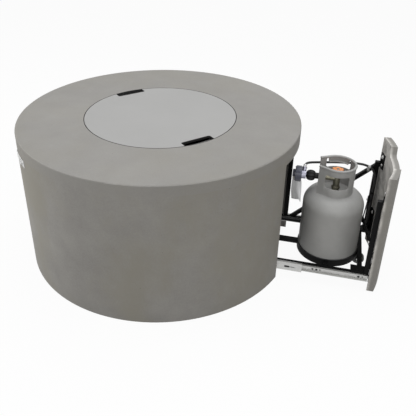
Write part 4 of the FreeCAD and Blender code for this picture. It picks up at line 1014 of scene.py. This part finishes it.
tagEye = {"profile": [(0.0016, -0.0007), (0.0030, -0.0007), (0.0028, 0.0004), (0.0019, 0.0006)],
          "spot": (0.5508, 0.00262, 0.3655), "facing": (-0.27, -0.963, 0.0)}
mesh = lathe(tagEye["profile"], sides=20, closed=True, spot=tagEye["spot"], facing=tagEye["facing"])
addPiece("tag_eyelet", mesh, "brass", "drawer")
clamp = {"spot": (0.8436, 0.142, 0.3844), "facing": (0.922, 0.0, -0.387),
         "band": [(0.0049, -0.0055), (0.0060, -0.0055), (0.0060, 0.0055), (0.0049, 0.0055)],
         "tongue": ((0.8386, 0.1468, 0.3600), (0.8486, 0.1480, 0.3840), 0.0004),
         "screw": ((0.8436, 0.1468, 0.3645), (0, -1, 0), 1.25)}
shell = bmesh.new()
turned(shell, clamp["band"], clamp["spot"], clamp["facing"], sides=28, closed=True)
block(shell, *clamp["tongue"])
addPiece("hose_clamp", toMesh(shell), "fastener", "drawer")
repeated("clamp_screw", screwShape, [clamp["screw"]], "fastener", "drawer")
hub = {"profile": [(0.0068, 0.0), (0.0068, 0.0009), (0.0052, 0.0017), (0.0030, 0.0017), (0.0027, 0.0010)],
       "x": 0.851, "y": 0.013, "z": 0.0255}
spots = [((hub["x"], side * hub["y"], hub["z"]), (0, side, 0), 1.0) for side in (-1, 1)]
hubShape = lathe(hub["profile"], sides=24)
repeated("roller_hubs", hubShape, spots, "fastener", "drawer")
print("bottle and regulator dressed")

# control plate: bezels and screws, on the wall under the rim

panel = {
    "turn": -137.0, "face": 0.5616, "height": 0.5095,
    "bezel": [(0.0098, -0.0010), (0.0130, -0.0010), (0.0126, 0.0010), (0.0108, 0.0014), (0.0098, 0.0008)],
    "controls": [(-0.026, 1.0), (0.026, 1.11)],  # along the wall, size
    "screwPlaces": [(along, rise) for along in (-0.047, 0.047) for rise in (-0.0100, 0.0100)],
    "screwSize": 0.85,
}


def onPanel(along, rise):
    arm = armAt(math.radians(panel["turn"]) + math.asin(along / panel["face"]))
    return arm * panel["face"] + up(panel["height"] + rise), arm


bezel = lathe(panel["bezel"], sides=40, closed=True)
spots = [(*onPanel(along, 0.0), size) for along, size in panel["controls"]]
repeated("panel_bezels", bezel, spots, "stainless", "table")
spots = [(*onPanel(along, rise), panel["screwSize"]) for along, rise in panel["screwPlaces"]]
repeated("panel_screws", screwShape, spots, "fastener", "table")

# burner: black discs as painted shade in the gas ports round the ring and the drain holes in the pan

burner = {"ring": 0.150, "tube": 0.0095, "height": 0.5205, "ports": 60, "lean": math.radians(52.0),
          "port": [(0.0015, -0.0002), (0.0015, 0.0002), (0.0006, 0.0003)],
          "drains": 16, "drainSize": 2.6, "drainRing": 0.235, "panFloor": 0.5030}
spots = []
for arm in armsRound(burner["ports"]):
    facing = arm * math.cos(burner["lean"]) + up(math.sin(burner["lean"]))
    middle = arm * burner["ring"] + up(burner["height"])
    spots.append((middle + facing * burner["tube"], facing, 1.0))
for arm in armsRound(burner["drains"], 0.5):
    place = arm * burner["drainRing"] + up(burner["panFloor"])
    spots.append((place, up(1.0), burner["drainSize"]))
# painted shade: black discs stand for the shade in the ports and drain holes
repeated("burner_ports", lathe(burner["port"], sides=10), spots, "black", "table")
print("controls and burner dressed")

# pale floor and white surroundings

floor = {
    "size": 30.0,
    "seen": (0.95, 0.95, 0.95),
    "bounce": (0.23, 0.214, 0.185),
    "glow": 0.94,  # how much of the white seen by the camera is its own, so that shadows stay soft
    "wallFoot": (0.525, 0.545), "doorway": (0.46, 0.515),  # the glow fades out where the drum begins
}


def paperFloor():
    finish = Finish("floor_paper", Roughness=0.9, Base_Color=solid(floor["bounce"]))
    kinds = ("Camera", "Glossy", "Transmission")
    rays = [finish.node("LightPath", output=f"Is {kind} Ray") for kind in kinds]
    paper = finish.node("BsdfDiffuse", None, {"Color": solid(floor["seen"])})
    glow = finish.node("Emission", None, {"Color": white, "Strength": 1.0})
    byWall = finish.reach().between(*floor["wallFoot"])
    outside = byWall.orMore(finish.axis("X").between(*floor["doorway"]))
    look = finish.node("MixShader", None, {0: outside * floor["glow"], 1: paper, 2: glow})
    direct = rays[0].orMore(rays[1]).orMore(rays[2])
    lit = finish.node("MixShader", None, {0: direct, 1: finish.shader.outputs[0], 2: look})
    feed(finish.tree, finish.tree.nodes["Material Output"].inputs["Surface"], lit)
    return finish.material


floorMesh = bpy.data.meshes.new("floor")
half = floor["size"] / 2
corners = [(-half, -half, 0), (half, -half, 0), (half, half, 0), (-half, half, 0)]
floorMesh.from_pydata(corners, [], [(0, 1, 2, 3)])
floorObject = bpy.data.objects.new("floor", floorMesh)
floorMesh.materials.append(paperFloor())
scene.collection.objects.link(floorObject)

sky = bpy.data.worlds.new("studio")
scene.world = sky
sky.use_nodes = True
skyTree = sky.node_tree
rays = addNode(skyTree, "ShaderNodeLightPath").outputs
direct = rays["Is Camera Ray"]
for kind in ("Glossy", "Transmission"):
    either = addNode(skyTree, "ShaderNodeMath", {"operation": "MAXIMUM"},
                     {0: direct, 1: rays[f"Is {kind} Ray"]})
    direct = either.outputs[0]
fill = addNode(skyTree, "ShaderNodeBackground", None, {"Color": white, "Strength": studio["skyFill"]})
backdrop = addNode(skyTree, "ShaderNodeBackground", None, {"Color": white, "Strength": 1.0})
skyLook = addNode(skyTree, "ShaderNodeMixShader", None,
                  {0: direct, 1: fill.outputs[0], 2: backdrop.outputs[0]})
feed(skyTree, skyTree.nodes["World Output"].inputs["Surface"], skyLook.outputs[0])
print("studio lit")
